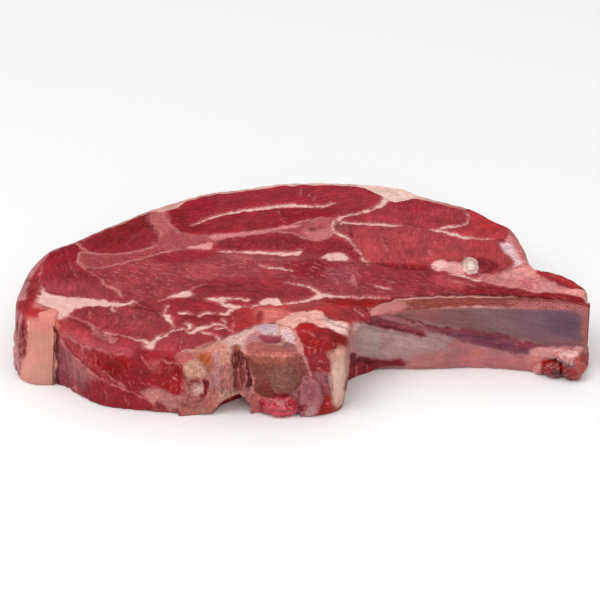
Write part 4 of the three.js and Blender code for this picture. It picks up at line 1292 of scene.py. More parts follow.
# Painted shade along the partings on the face, where two tissues part, as strokes.
SHADED_PARTINGS = [
    [(-57, -29.4, 0.3), (-52, -31.8, 0.5), (-48.4, -34, 0.5), (-47, -36.4, 0.3)],
    [(-87.4, -15, 0.3), (-85.6, -19.6, 0.5), (-80, -22.6, 0.4), (-72, -24, 0.3)],
    [(-76.6, -38.4, 0.3), (-71.4, -42.6, 0.5), (-66.4, -47.4, 0.5), (-60, -50.8, 0.4)],
    [(-51, 15, 0.2), (-50.6, 21, 0.3), (-53.4, 28, 0.3)], [(-36, -25.2, 0.3), (-32.6, -27, 0.5), (-28.6, -29.6, 0.4)],
    [(-42, -34.2, 0.3), (-37, -35.8, 0.5), (-34, -36.6, 0.5), (-28, -36, 0.3)],
    [(-40, -45.8, 0.3), (-36.4, -47.4, 0.6), (-31, -48.6, 0.5), (-28, -50, 0.4)],
    [(-35, -16.4, 0.3), (-28, -16, 0.5), (-20, -15, 0.4)], [(-30, -20, 0.3), (-22, -19, 0.5), (-15, -19.6, 0.3)],
    [(-28, 7.6, 0.3), (-18, 7, 0.4), (-8, 6, 0.4), (0, 5.6, 0.3)], [(1, 2.6, 0.3), (10, 2, 0.5), (20, -0.6, 0.4)],
    [(13.2, 24, 0.4), (13.4, 28, 0.6), (14.6, 30, 0.3)], [(18, 26.6, 0.4), (17.6, 22.4, 0.5), (18.8, 19, 0.3)],
    [(22.4, 1.4, 0.3), (32, -2.4, 0.5), (44, -4, 0.5), (46, -2, 0.3)],
    [(8, -25, 0.4), (16, -24.8, 0.7), (26, -24.8, 0.8), (33, -24.2, 0.7), (45, -22.4, 0.9), (60, -22, 0.9),
        (75, -23, 0.9), (88, -24.8, 0.8), (96, -27, 0.6)],
    [(24.6, -31, 0.3), (27, -28.8, 0.5), (31, -26.4, 0.4)],
    [(-1.4, -43, 0.3), (0.6, -41.2, 0.5), (3.4, -40.9, 0.5), (6, -43.7, 0.5), (10, -45.2, 0.5), (13.4, -48.4, 0.4)],
    [(-38, -58.4, 0.3), (-32, -56.8, 0.4), (-26.6, -51.8, 0.5), (-20.4, -46.8, 0.5), (-15, -43, 0.3)],
    [(-7.4, -42, 0.3), (-4, -43.2, 0.4), (-2.2, -45, 0.3)], [(56.4, -4, 0.3), (56.8, 0.4, 0.5), (58.4, 4, 0.3)],
    [(62, -6, 0.3), (62, -1, 0.4), (61.4, 3.4, 0.3)], [(60, 5, 0.3), (66, -4.6, 0.4), (62.6, -6.4, 0.4)],
    [(81.6, -4.4, 0.4), (86, -9.6, 0.5), (90, -16, 0.5), (95, -18, 0.3)],
    [(9, -39, 0.3), (11.4, -42, 0.5), (14, -44, 0.3)], [(12, -41, 0.3), (14.4, -43.6, 0.5), (15.4, -47, 0.3)],
    [(12, -30, 0.3), (15.4, -33.6, 0.5), (18, -38, 0.3)], [(16.6, -30, 0.3), (19, -33.6, 0.5), (20.6, -38, 0.3)],
    [(20.4, -29.6, 0.3), (22.4, -32.6, 0.5), (23, -37, 0.3)],
]
# Painted shade along the partings on the front wall, where two tissues part. From here on, the second number is a
# height.
SHADED_WALL_PARTINGS = [
    [(-82.2, 22, 0.3), (-81.6, 14, 0.7), (-81.6, 6, 0.7), (-82, 0, 0.4)],
    [(4.6, 17.2, 0.3), (7, 13.2, 0.5), (8.2, 9, 0.6), (7.6, 3, 0.5), (6.2, 0, 0.4)],
    [(9.8, 24, 0.3), (10.3, 16, 0.5), (10.7, 8, 0.6), (11.4, 2, 0.4)],
    [(-21, 25.6, 0.4), (-18.4, 21.4, 0.6), (-16.6, 15.4, 0.7), (-16.9, 10.4, 0.6), (-18, 7, 0.3)],
    [(-14.9, 10.4, 0.4), (-12, 7.9, 0.6), (-7, 8.3, 0.8), (-3.8, 9.3, 0.7), (-1, 12, 0.5), (0.4, 15.4, 0.4),
        (1.6, 19, 0.3)],
    [(-3.6, 9.2, 0.4), (-1, 6.4, 0.6), (-0.7, 2.6, 0.6), (-0.8, 0, 0.4)],
    [(-13, 5.4, 0.4), (-12.4, 2, 0.7), (-12.2, 0, 0.4)], [(-10, 2.6, 0.3), (-7, 3.4, 0.5), (-4, 2.6, 0.3)],
    [(-38.8, 20.4, 0.3), (-38, 16, 0.5), (-36.8, 12.2, 0.5), (-36.4, 9, 0.6), (-37.4, 6, 0.3)],
    [(-33, 20.4, 0.3), (-30.6, 18.6, 0.4), (-28.6, 14, 0.5), (-28.6, 9, 0.4)],
    [(-26, 20, 0.3), (-25.5, 15, 0.5), (-25.9, 9, 0.4)], [(-24.7, 20, 0.3), (-23.2, 17, 0.4), (-23.6, 11, 0.4)],
    [(-22.2, 22, 0.4), (-21.4, 16, 0.6), (-21.6, 10, 0.4)], [(-19.9, 23, 0.4), (-19.2, 17, 0.6), (-19.5, 11, 0.4)],
    [(-17.7, 20, 0.3), (-17.2, 15, 0.5), (-17.8, 10, 0.3)], [(-29.6, 8, 0.3), (-27, 5.4, 0.4), (-24, 6.8, 0.3)],
    [(-36, 7.6, 0.3), (-34, 6, 0.5), (-31, 6.6, 0.3)], [(-40, 5, 0.3), (-37, 3.6, 0.5), (-34, 3.8, 0.3)],
    [(-95.2, 12, 0.2), (-94.7, 7, 0.5), (-95, 2, 0.2)], [(-93.4, 22, 0.3), (-92.5, 16, 0.5), (-92.8, 10, 0.3)],
    [(-80, 20.4, 0.3), (-76.4, 17, 0.6), (-71.4, 14, 0.6), (-67, 12, 0.4)],
    [(-79, 15, 0.1), (-78, 7, 0.35), (-78.2, 1, 0.1)], [(-74.6, 10, 0.1), (-74, 4, 0.3)],
    [(-70.8, 6, 0.1), (-70.4, 0, 0.3)], [(-47.8, 4.4, 0.3), (-46.6, 3, 0.8), (-47, 1.6, 0.3)],
    [(16, 13, 0.4), (18, 8.8, 0.9), (22, 5.8, 0.9), (28, 3.9, 0.6), (36, 3.2, 0.3)],
    [(44, 16.6, 0.3), (52, 15, 0.5), (60, 13.8, 0.5), (68, 13, 0.4)],
    [(28, 25.6, 0.3), (34, 22.8, 0.5), (42, 19.4, 0.5), (50, 17.2, 0.3)],
    [(18, 27, 0.3), (24, 22.6, 0.6), (32, 18.6, 0.6), (41, 15.4, 0.3)],
    [(21, 27, 0.1), (28, 23, 0.4), (37, 19.4, 0.4), (47, 16.4, 0.1)],
    [(25, 27.4, 0.1), (32, 24, 0.3), (40, 20.8, 0.1)],
    [(17, 24.4, 0.1), (23, 21, 0.3), (31, 17.2, 0.3), (36, 15.6, 0.1)],
    [(83, 6.6, 0.4), (87, 6.2, 0.8), (93, 6.6, 0.6)], [(83.4, 2, 0.4), (84.6, -0.6, 0.8), (87, -2, 0.4)],
    [(89.6, 3.6, 0.4), (91.4, 1.4, 0.7), (91, -1, 0.4)], [(93.4, 5, 0.3), (94.4, 1.4, 0.6)],
]
# All tones of the face, the later ones over the earlier.
FACE_AREAS = [
    *(Area(MUSCLES[name], tone, 0.5, 1.0, 0.2, *fibres) for name, (tone, *fibres) in MUSCLE_LOOKS.items()),
    *SHADES, *CORNERS, *BONES, *NECK, *BACKBONE_TOP, *BRISKET, *VEIN, *RIB_TOP,
]
FACE = Painting(Plane.FACE, "#963c42", FACE_AREAS, FAT_SEAMS, FAT_PADS, FILMS, SHADED_PARTINGS)
# Tones of the front wall, from its left end to its right.
WALL_AREAS = [
    Area([(-100, 30), (-91, 30), (-90.8, 18), (-92, 12), (-93.6, 6), (-94.6, -2), (-100, -2)], "#8c3138", 0.8,
        fibre=82),
    Area([(-96, 28), (-91.4, 28), (-91.6, 22), (-94.6, 20)], "#b87074", 1.2, fibre=82),
    Area([(-93.4, 23), (-91, 25), (-90.8, 17), (-93, 15)], "#96343a", 0.8, marbling_and_glints=0.8),
    Area([(-99, 18), (-94.8, 17), (-94, 10), (-94.6, 3), (-99, 2)], "#b4706f", 0.8, marbling_and_glints=1),
    Area([(-94.8, 15), (-92.4, 17), (-92.6, 10), (-94.2, 8)], "#96383c", 0.7, marbling_and_glints=0.9),
    Area([(-95.6, 9), (-92.6, 8), (-93.8, 2), (-95.4, 1)], "#cb7b7f", 0.8, 0.9),
    Area([(-97.6, 6), (-96, 7), (-95.6, 2), (-97, 1)], "#94404a", 0.8, 0.8),
    Area([(-90.4, 30), (-80, 30), (-80.9, 24), (-82, 20), (-82.3, 10), (-82.6, -2), (-95.4, -2), (-94.4, 4),
        (-92.6, 10), (-91.5, 15), (-91, 20)], "#da9384", 0.35, fibre=86),
    Area([(-90, 30), (-81, 30), (-82, 21), (-90, 21.6)], "#dc8b7f", 1.4),
    Area([(-90.4, 19), (-84, 19), (-83, 12), (-90, 13)], "#cf9080", 2.2),
    Area([(-94, 8), (-91.6, 11), (-91.6, 2), (-94, 1)], "#e0998d", 1.2),
    Area([(-90, 8), (-83, 8), (-83, -2), (-92, -2)], "#cb9184", 2.2),
    Area([(-82.2, 22), (-80.6, 19), (-79.6, 8), (-80, -2), (-82.6, -2), (-82.2, 10)], "#661b1d", 0.6),
    Area([(-80.8, 27), (-76, 28), (-70, 24), (-73, 20), (-80, 20)], "#c04e54", 1.2, fibre=38),
    Area([(-80.6, 22), (-74, 22), (-70, 20), (-76, 18.8), (-80.4, 19.6)], "#bd6466", 0.8, 0.7, fibre=10),
    Area([(-73, 23.4), (-64, 24.6), (-54, 24.4), (-56, 21.4), (-66, 20.8), (-72, 21)], "#b5525a", 1.2, 0.8, fibre=10),
    Area([(-80, 19), (-76.4, 16), (-71, 12.4), (-67.6, 10), (-69, 4), (-70, -2), (-80, -2)], "#985258", 1, fibre=84,
        marbling_and_glints=0.35),
    Area([(-76, 14.6), (-70, 12), (-68.6, 8), (-73, 6), (-77, 9)], "#9c5c5c", 1.4, 0.9),
    Area([(-79.6, 6), (-73, 5), (-71, -2), (-80, -2)], "#93383f", 1.2, 0.8, fibre=70, marbling_and_glints=0.6),
    Area([(-70.4, 8.6), (-66, 9.4), (-60, 7.8), (-52, 5.4), (-48.4, 3), (-48, -2), (-71, -2)], "#8e2e34", 0.7,
        fibre=86, marbling_and_glints=0.15),
    Area([(-79, 20), (-68, 21), (-60, 20.6), (-66, 16), (-70, 13.4), (-75, 16)], "#a43e43", 1.2, fibre=86,
        marbling_and_glints=0.4),
    Area([(-69, 19.6), (-58, 20.4), (-53, 17), (-55, 11), (-62, 11.6), (-67, 13)], "#93272c", 2, fibre=86),
    Area([(-64.6, 18), (-58, 18.6), (-57, 13), (-62, 13)], "#821c22", 2, 0.9),
    Area([(-68, 14.6), (-64, 13.6), (-58, 9.6), (-60, 8.8), (-67, 10.8)], "#96383c", 1, 0.8, fibre=-40),
    Area([(-57, 16), (-48, 16), (-46, 9), (-52, 8), (-58, 10)], "#8d2a30", 1.6, fibre=-50, marbling_and_glints=0.5),
    Area([(-46.6, 21), (-38.4, 21), (-38, 12), (-42, 9.4), (-47, 12)], "#93282d", 1.4, fibre=60, marbling_and_glints=0.3),
    Area([(-49.6, 21.4), (-45.6, 21), (-46, 17), (-49, 16.6)], "#a84a4d", 1, 0.8, marbling_and_glints=0.5),
    Area([(-52.6, 8), (-47, 10), (-40, 8.6), (-36, 9), (-30, 8), (-29.4, -2), (-48.6, -2), (-48.4, 3)], "#c07875", 0.9,
        fibre=20, marbling_and_glints=0.3),
    Area([(-50, 8), (-46, 8.4), (-45, 5.6), (-49, 5)], "#b6756f", 1, 0.9),
    Area([(-47.6, 5), (-45.8, 4.8), (-46, 2.8), (-48, 2.6)], "#8a3c3c", 0.6, 0.9),
    Area([(-48, 3.6), (-44, 2.4), (-43.6, -2), (-49, -2)], "#9c3f45", 0.8),
    Area([(-42, 2.4), (-36, 2), (-35, -2), (-43, -2)], "#8c484a", 0.8, 0.9),
    Area([(-39.6, 23), (-36, 25.2), (-29, 28), (-15, 30), (-15, 5), (-29, 2), (-32, 8), (-37.6, 9), (-38.4, 15),
        (-37.6, 19)], "#b4766e", 0.7, fibre=86),
    Area([(-40.4, 24.6), (-35, 25), (-34.6, 21.4), (-38, 20.6), (-40, 19)], "#b85f60", 0.8, 0.9),
    Area([(-38.4, 20), (-34, 22.4), (-31, 20), (-31, 16.4), (-35, 15.8), (-38, 16)], "#ca9786", 0.8),
    Area([(-33.4, 24.4), (-28, 24.8), (-27.4, 20.6), (-31, 19.8), (-33, 21.4)], "#ad5b3f", 0.9),
    Area([(-30, 21.4), (-27.4, 21), (-27, 17.6), (-29.6, 17.4)], "#a9604f", 0.8, 0.9),
    Area([(-28, 28), (-26, 27), (-25.4, 12), (-29, 8), (-30, 13), (-28.6, 18)], "#b27b7a", 0.8),
    Area([(-26, 28), (-20, 28), (-22.6, 21), (-25.4, 20)], "#bb8a7a", 0.8, marbling_and_glints=0.6),
    Area([(-25.6, 20), (-22.4, 20), (-21.6, 10), (-25.4, 9)], "#ad6f6a", 0.7, marbling_and_glints=0.7),
    Area([(-29, 9.4), (-20, 9.6), (-19.6, 5), (-29, 1)], "#ac8173", 0.7),
    Area([(-30, 11), (-27.6, 11), (-28, 1), (-30.4, 1)], "#b96f69", 0.6, 0.9, marbling_and_glints=0.6),
    Area([(-39, 8), (-30.4, 8), (-29.4, -2), (-38, -2)], "#ad6560", 0.9, marbling_and_glints=0.5),
    Area([(-35, 3), (-29.6, 3), (-29, -2), (-36, -2)], "#a56d60", 0.7),
    Area([(-42, 20), (-38.4, 20), (-37.8, 15), (-38.6, 9), (-42, 8.6)], "#982a2f", 0.9, fibre=60, marbling_and_glints=0.5),
    Area([(-36.7, 12.6), (-36.2, 15.2), (-33.6, 15.6), (-32.9, 13.8), (-34.6, 12.4)], "#7a2a30", 0.45),
    Area([(-32.2, 14.6), (-30.2, 14.4), (-29.6, 12), (-31, 8.4), (-32.4, 6.8), (-33, 8.6), (-31.8, 11.4)], "#76252b",
        0.45),
    Area([(-34.4, 13.4), (-32.2, 13.6), (-32.4, 11), (-33.6, 8.2), (-34.8, 9), (-34.6, 11.4)], "#c49a93", 0.5),
    Area([(-22.4, 23), (-20.6, 27), (-18.6, 25), (-16.6, 20), (-15.7, 14.6), (-16.6, 10), (-19, 9), (-21.8, 11),
        (-21.6, 17)], "#8c4846", 0.6, fibre=88, marbling_and_glints=0.9),
    Area([(-22.2, 22.4), (-20.4, 25), (-19.8, 20), (-21.4, 18)], "#62302a", 0.6, 0.9),
    Area([(-17.4, 20), (-16, 14.6), (-16.8, 10.6), (-17.6, 14)], "#6d2b2e", 0.4, 0.8),
    Area([(-20, 10.4), (-16.6, 10.6), (-15.4, 5), (-19.8, 5)], "#b57673", 0.7, marbling_and_glints=0.5),
    Area([(-20, 28), (-18, 23), (-15.9, 17), (-15.6, 9), (-17, 5), (-16.6, -2), (-13, -2), (-13, 28)], "#d28c83", 0.35),
    Area([(-18, 28), (-15, 18), (-14.9, 8), (-11, 4), (-10, 28)], "#984a44", 0.5),
    Area([(-18.6, 25.2), (0.6, 25.2), (0.9, 20), (-0.2, 13), (-4.4, 9), (-7, 8.4), (-12, 7.4), (-14.7, 10), (-15, 16)],
        "#80493f", 0.8, pores=0.8, marbling_and_glints=0.2),
    Area([(-18.6, 25.4), (0.6, 25.4), (0, 22.4), (-14, 22)], "#a05a4f", 0.9, pores=0.6),
    Area([(-19, 26.4), (0.8, 26.4), (0.8, 24.9), (-18.2, 24.8)], "#c4766d", 0.45, pores=0.1),
    Area([(-9, 20), (-3, 20.4), (-1.6, 14), (-5, 10.6), (-9.4, 13)], "#855a4f", 1.4, 0.9, pores=0.75),
    Area([(-13, 13.6), (-9.6, 12.6), (-8.6, 8.8), (-12.4, 7.6)], "#77382f", 1, 0.9),
    Area([(-1.6, 26), (2, 26), (3, 16), (0.4, 12), (-0.6, 15)], "#96554e", 0.7, pores=0.6),
    Area([(0.4, 30), (1.6, 30), (3.4, 20), (4.6, 17.4), (3.6, 16.6), (2.2, 19)], "#c98987", 0.35),
    Area([(-8.6, 9), (-4.4, 9.6), (-3, 8), (-7.6, 6.8)], "#7a232a", 0.5),
    Area([(-17, 8.6), (-12.6, 7), (-11, 4.4), (-12.4, -2), (-17, -2)], "#b1625d", 0.6),
    Area([(-12.8, 6.6), (-7.6, 7), (-3, 8.4), (0, 5), (-0.8, -3), (-12, -3)], "#b53f4a", 0.5, marbling_and_glints=0.6),
    # Painted highlight along the top of the wet scrap.
    Area([(-12.4, 7), (-6, 6.4), (-2.6, 7.4), (-4, 5.6), (-11, 5.4)], "#c9777c", 0.5, 0.8),
    Area([(2, 30), (9.4, 30), (9.8, 20), (9, 16.6), (4.6, 17), (2.6, 21)], "#943036", 0.5, fibre=-30, marbling_and_glints=0.3),
    Area([(4.4, 18), (9.6, 17.4), (10.6, 11), (7, 12), (5, 15)], "#9b5b5d", 0.9, marbling_and_glints=0.5),
    Area([(8.2, 16.6), (9.6, 15), (10.4, 12), (9, 12.6)], "#6b3a44", 0.5, 0.8),
    Area([(6.6, 12.6), (11, 12), (11, 7.4), (6.8, 7.4)], "#98504f", 0.8, marbling_and_glints=0.5),
    Area([(6.6, 8.4), (11.4, 8), (12, 2), (8, -2), (5.4, 1), (6.8, 4)], "#a52b2b", 0.7, fibre=40),
    Area([(-3.4, 9.4), (0, 13), (1, 16.4), (4, 16), (6.4, 13.6), (7.1, 9), (7, 4), (5.2, 0.6), (4, -3), (-0.6, -3),
        (-0.6, 5)], "#a8686c", 0.5, fibre=60, marbling_and_glints=0.9),
    Area([(1.6, 13), (4.6, 13), (5.2, 8), (2.6, 7.4)], "#91525c", 1.2, 0.8),
    Area([(1.6, 4.4), (4.6, 5), (5, 1), (2, 0.6)], "#bb8c8b", 0.8),
    Area([(-0.4, 3.4), (1.8, 6), (2.8, 5.4), (0.8, 2.6)], "#8a2c35", 0.4),
    Area([(9, 30), (10, 20), (10.6, 12), (10.8, 4), (12.6, 1), (15, 8), (17, 30)], "#ca9182", 0.5, fibre=86),
    Area([(12.2, 22), (16.8, 23), (16.6, 12), (14.8, 2), (12.2, 2.4), (10.7, 7), (9.8, 12), (9.6, 16.6), (10.4, 19)],
        "#d3a598", 0.5, fibre=86),
    Area([(11.8, 19), (14, 19.4), (13.8, 8), (12.6, 6), (11.6, 11)], "#dcb0a3", 1, 0.9),
    Area([(10, 27), (13.6, 28), (13, 24), (10.4, 24)], "#d8a79d", 0.9, 0.7),
    Area([(16, 30), (18, 32), (60, 32), (100, 30), (100, -3), (60, -4), (18, -4), (16, -2), (16, 8), (16, 20)],
        "#ab8480", 0.4, fibre=-26, marbling_and_glints=0.15),
    Area([(16.6, 27), (22, 29), (31, 25), (29, 21.6), (22, 23.4), (17, 22)], "#cfa7a1", 1.1, 0.9),
    Area([(15.2, 28), (16.6, 27), (17.4, 14), (18, 10), (16, 12)], "#b77f78", 0.5, fibre=86),
    Area([(21.4, 21), (27, 19), (27, 9), (22, 10)], "#b29892", 2, 0.9),
    Area([(28, 18), (40, 14), (50, 11), (50, 6), (36, 6), (28, 9)], "#ae8985", 2),
    # Dark red tissue in the recess left of the lining, darkened further by painted shade.
    Area([(15.6, 13), (18, 12.4), (20, 8), (23, 6), (22, 1), (16, 1)], "#6c1014", 0.8, fibre=-60),
    Area([(20, 7.6), (26, 5.8), (36, 4.4), (37.4, 2.6), (28, 1), (21, -1)], "#8c2c32", 0.8, fibre=-8, marbling_and_glints=0.3),
    # The recess's deepest part: more painted shade.
    Area([(17, 9.4), (24, 6.6), (24, 4), (18, 4.4)], "#7b151a", 0.9),
    Area([(38, 6), (60, 6.6), (60, -2), (38, -2)], "#b07471", 1.6, fibre=-6),
    Area([(56, 7.6), (70, 6.4), (82, 8), (84, 2), (80, -2), (56, -2)], "#b97072", 1.6, fibre=-8, marbling_and_glints=0.3),
    Area([(57, 10), (62, 9.4), (62, 6.6), (57.6, 7)], "#b0705c", 1, 0.8),
    Area([(16.6, 30), (22, 30), (30, 21.6), (43, 15.8), (42.6, 14.4), (34, 17), (27, 20), (20, 24.6)], "#7f333b", 0.7,
        fibre=-27, marbling_and_glints=0.45),
    Area([(24, 28), (31, 26), (38, 21.8), (46, 18.6), (57, 16), (56, 14.6), (44, 16), (34, 19), (27, 23)], "#853f45",
        0.8, fibre=-22, marbling_and_glints=0.4),
    Area([(26, 24.6), (34, 20.6), (44, 16.4), (50, 14.6), (46, 16.8), (36, 21.6), (28, 26)], "#a9706f", 0.5, 0.7),
    Area([(50, 16.4), (60, 15.4), (68, 15.2), (73, 14.2), (76, 12.6), (85, 10.6), (82, 9), (76, 7.4), (70, 8),
        (60, 10.4), (52, 13)], "#7b4653", 1, fibre=-14, marbling_and_glints=0.2),
    Area([(58, 13), (66, 12), (74, 10.4), (84, 10), (76, 9), (66, 10)], "#6d3a49", 0.9, 0.8),
    Area([(52, 12.6), (62, 9.4), (72, 7.6), (76, 6.6), (60, 7.2), (50, 10)], "#a86567", 1.2, 0.8),
    Area([(25, 26.6), (32, 28), (60, 28), (99, 28), (99, 11), (84, 11.4), (74, 13.4), (62, 15.8), (48, 18.6), (38, 22),
        (29, 25.4)], "#84595b", 0.9, fibre=-6, marbling_and_glints=0),
    Area([(27, 30), (99, 30), (99, 25.2), (60, 25.4), (36, 24.9), (30, 25)], "#aa7069", 0.5, marbling_and_glints=0.2),
    Area([(31, 25), (48, 25), (48, 20.4), (40, 21.6)], "#955c58", 1.4, 0.9),
    Area([(48, 24.6), (60, 24.6), (66, 20), (56, 18.4), (48, 20)], "#85595a", 1.6),
    Area([(58, 24), (74, 24.4), (82, 20), (76, 15), (62, 17.4)], "#806164", 1.8, 0.9),
    Area([(72, 24.6), (94, 24.8), (95, 14), (84, 13), (76, 16)], "#745762", 3.4),
    Area([(83, 23), (94, 23), (93.6, 15.4), (86, 16)], "#694d5e", 3.6, 0.8),
    Area([(55, 17.4), (64, 15.6), (71, 14.8), (71, 13.2), (62, 14.2), (54, 15.6)], "#7b3945", 0.6, 0.9),
    Area([(80, 14), (92, 14), (94, 11), (84, 10.8)], "#80565c", 1.2, 0.9),
    Area([(72, 12.4), (84, 11), (85, 9.8), (74, 10.8)], "#8c3d48", 0.6, 0.8),
    Area([(95, 26), (100, 26), (100, 4), (96, 5), (95.6, 14)], "#9c5c5e", 1.8, marbling_and_glints=0.2),
    Area([(96.4, 26), (98.2, 26), (98, 6), (97, 6)], "#a8625e", 0.6, 0.9),
    Area([(78, 9.4), (86, 10.6), (92, 11.6), (96, 11), (94, 8), (86, 7), (79, 6)], "#c98a87", 0.8, marbling_and_glints=0.6),
    # Painted highlights on the pale fat strip under the rib.
    Area([(86, 9.6), (91, 10.6), (95.6, 11.4), (95, 9.6), (90, 8.6)], "#e0aeaa", 0.5, 0.9),
    Area([(77, 6.8), (84, 6.4), (84, 3), (77, 3.6)], "#c77d78", 0.9),
    Area([(82.6, 5.6), (87, 6.4), (94, 6.6), (99, 7), (99, -6), (83, -6)], "#952a2c", 0.7, fibre=30, marbling_and_glints=0.5),
    # Painted shade of two hollows in the torn clump under the rib.
    Area([(85.4, 4), (89, 4.4), (89.6, 0.8), (86, 0.6)], "#650c10", 0.6),
    Area([(88.6, -0.6), (92, -0.4), (91, -2.6), (89, -2.4)], "#70181a", 0.5),
    Area([(93, 8), (97.4, 8), (97, 0), (94.4, 1)], "#a64f4b", 0.8, marbling_and_glints=0.4),
]
# Membranes on the front wall.
WALL_FILMS = [
    [(-80, 19, 0.9), (-76, 15.6, 1.3), (-71, 12.6, 1.2), (-67, 10.6, 1.2), (-63, 9.6, 0.8), (-58, 8.2, 0.8),
        (-54, 6.8, 0.6), (-50, 4.8, 0.5)],
    [(-66.4, 14.6, 0.5), (-62, 12, 0.7), (-58, 9.2, 0.6)],
    [(-77.4, 21, 0.6), (-71, 20.8, 1), (-65, 21.2, 0.9), (-57, 21.4, 0.6)],
    [(-78, 25, 0.5), (-74, 26.4, 0.6), (-68, 26.4, 0.9), (-62, 25, 0.8), (-56, 24.6, 0.6)],
    [(-48, 20, 0.5), (-46, 21.6, 0.8), (-43, 20.6, 1), (-40, 20.2, 0.7), (-38, 18.4, 0.7)],
    [(-42, 25, 0.4), (-40, 24, 0.8), (-37, 24.4, 0.6)], [(-50, 12, 0.4), (-47.6, 10, 0.7), (-46.6, 7, 0.6)],
    [(-42.4, 16, 0.4), (-40, 13.6, 0.6), (-38.6, 11, 0.5)], [(-76, 5.4, 0.4), (-75.4, 2.4, 0.8), (-77, -0.5, 0.5)],
    [(-69.4, 7, 0.4), (-69.8, 2, 0.5)], [(-64.6, 6.4, 0.4), (-64.2, 1.6, 0.5)], [(-58, 6, 0.3), (-57, 2.4, 0.4)],
    [(-72.6, 20, 0.4), (-72, 16, 0.4)], [(-68, 19.6, 0.4), (-67.6, 15, 0.4)],
    [(-52, 22, 0.4), (-50.8, 20.4, 0.8), (-49.4, 18, 0.5)], [(-25, 24.6, 0.5), (-24, 18, 0.8), (-23.6, 11, 0.6)],
    [(-20.4, 19, 0.4), (-19.8, 14, 0.7), (-20.2, 10, 0.5)], [(-18.6, 22, 0.4), (-17.8, 16, 0.5), (-18.2, 11, 0.5)],
    [(6, 20, 0.4), (8, 17.6, 0.6)], [(5, 23.6, 0.3), (8, 21.4, 0.5)], [(7.6, 5.6, 0.3), (9.4, 4.4, 0.5)],
    [(17.4, 14, 0.4), (20, 9.6, 0.8), (22.4, 7.4, 0.5)], [(16, 27, 0.6), (17, 20, 0.9), (18, 13, 0.6)],
]
# Fat on the front wall.
WALL_FAT = [
    [(-91.2, 27, 0.9), (-90.9, 20, 0.7), (-91.6, 14, 0.5)],
]
FRONT = Painting(
    Plane.WALL, "#9a2e34", WALL_AREAS, WALL_FAT, film=WALL_FILMS, creases=SHADED_WALL_PARTINGS, fibre=-18, marbling_and_glints=0.2
)


def relief(points: np.ndarray) -> np.ndarray:
    """Height of the sawn face: level, with soft unevenness, and dipped along the fat seams and partings.

    A seam dips by 0.32 mm times a bell curve of the distance to its edge, a parting by up to 0.3 mm.

    Args:
        points: Places on the face, x and y.

    Returns:
        The height of each.
    """
    places = frayed(points)
    seams = np.max([stroke_field(places, line) for line in FAT_SEAMS], axis=0)
    partings = np.max([stroke_field(places, line) for line in SHADED_PARTINGS], axis=0)
    dip = 0.32 * np.exp(-((np.clip(seams, -FAR, 0.2) / 0.7) ** 2)) + 0.3 * smooth(-0.8, 0.2, partings)
    mean, bumps, highest = 25.74, 0.08, 25.96
    uneven = bumps * ripple(points, 9.0, 4) + 0.4 * bumps * ripple(points, 2.4, 5)
    return np.minimum(mean + uneven - dip, highest)


def grid_solid(grid: np.ndarray, wall: np.ndarray, facing: np.ndarray) -> Solid:
    """Close a grid of rings into a solid that has no sharp borders.

    Args:
        grid: Corners, of shape (rows, ring, 3).
        wall: How far each lies on the wall, as in a solid.
        facing: Which way the outer wall faces at each.

    Returns:
        The solid.
    """
    points = grid.reshape(-1, 3)
    crease = np.zeros(len(points), bool)
    return Solid(points, closed_grid(grid), points[:, :2], wall.ravel(), facing.reshape(-1, 2), crease)


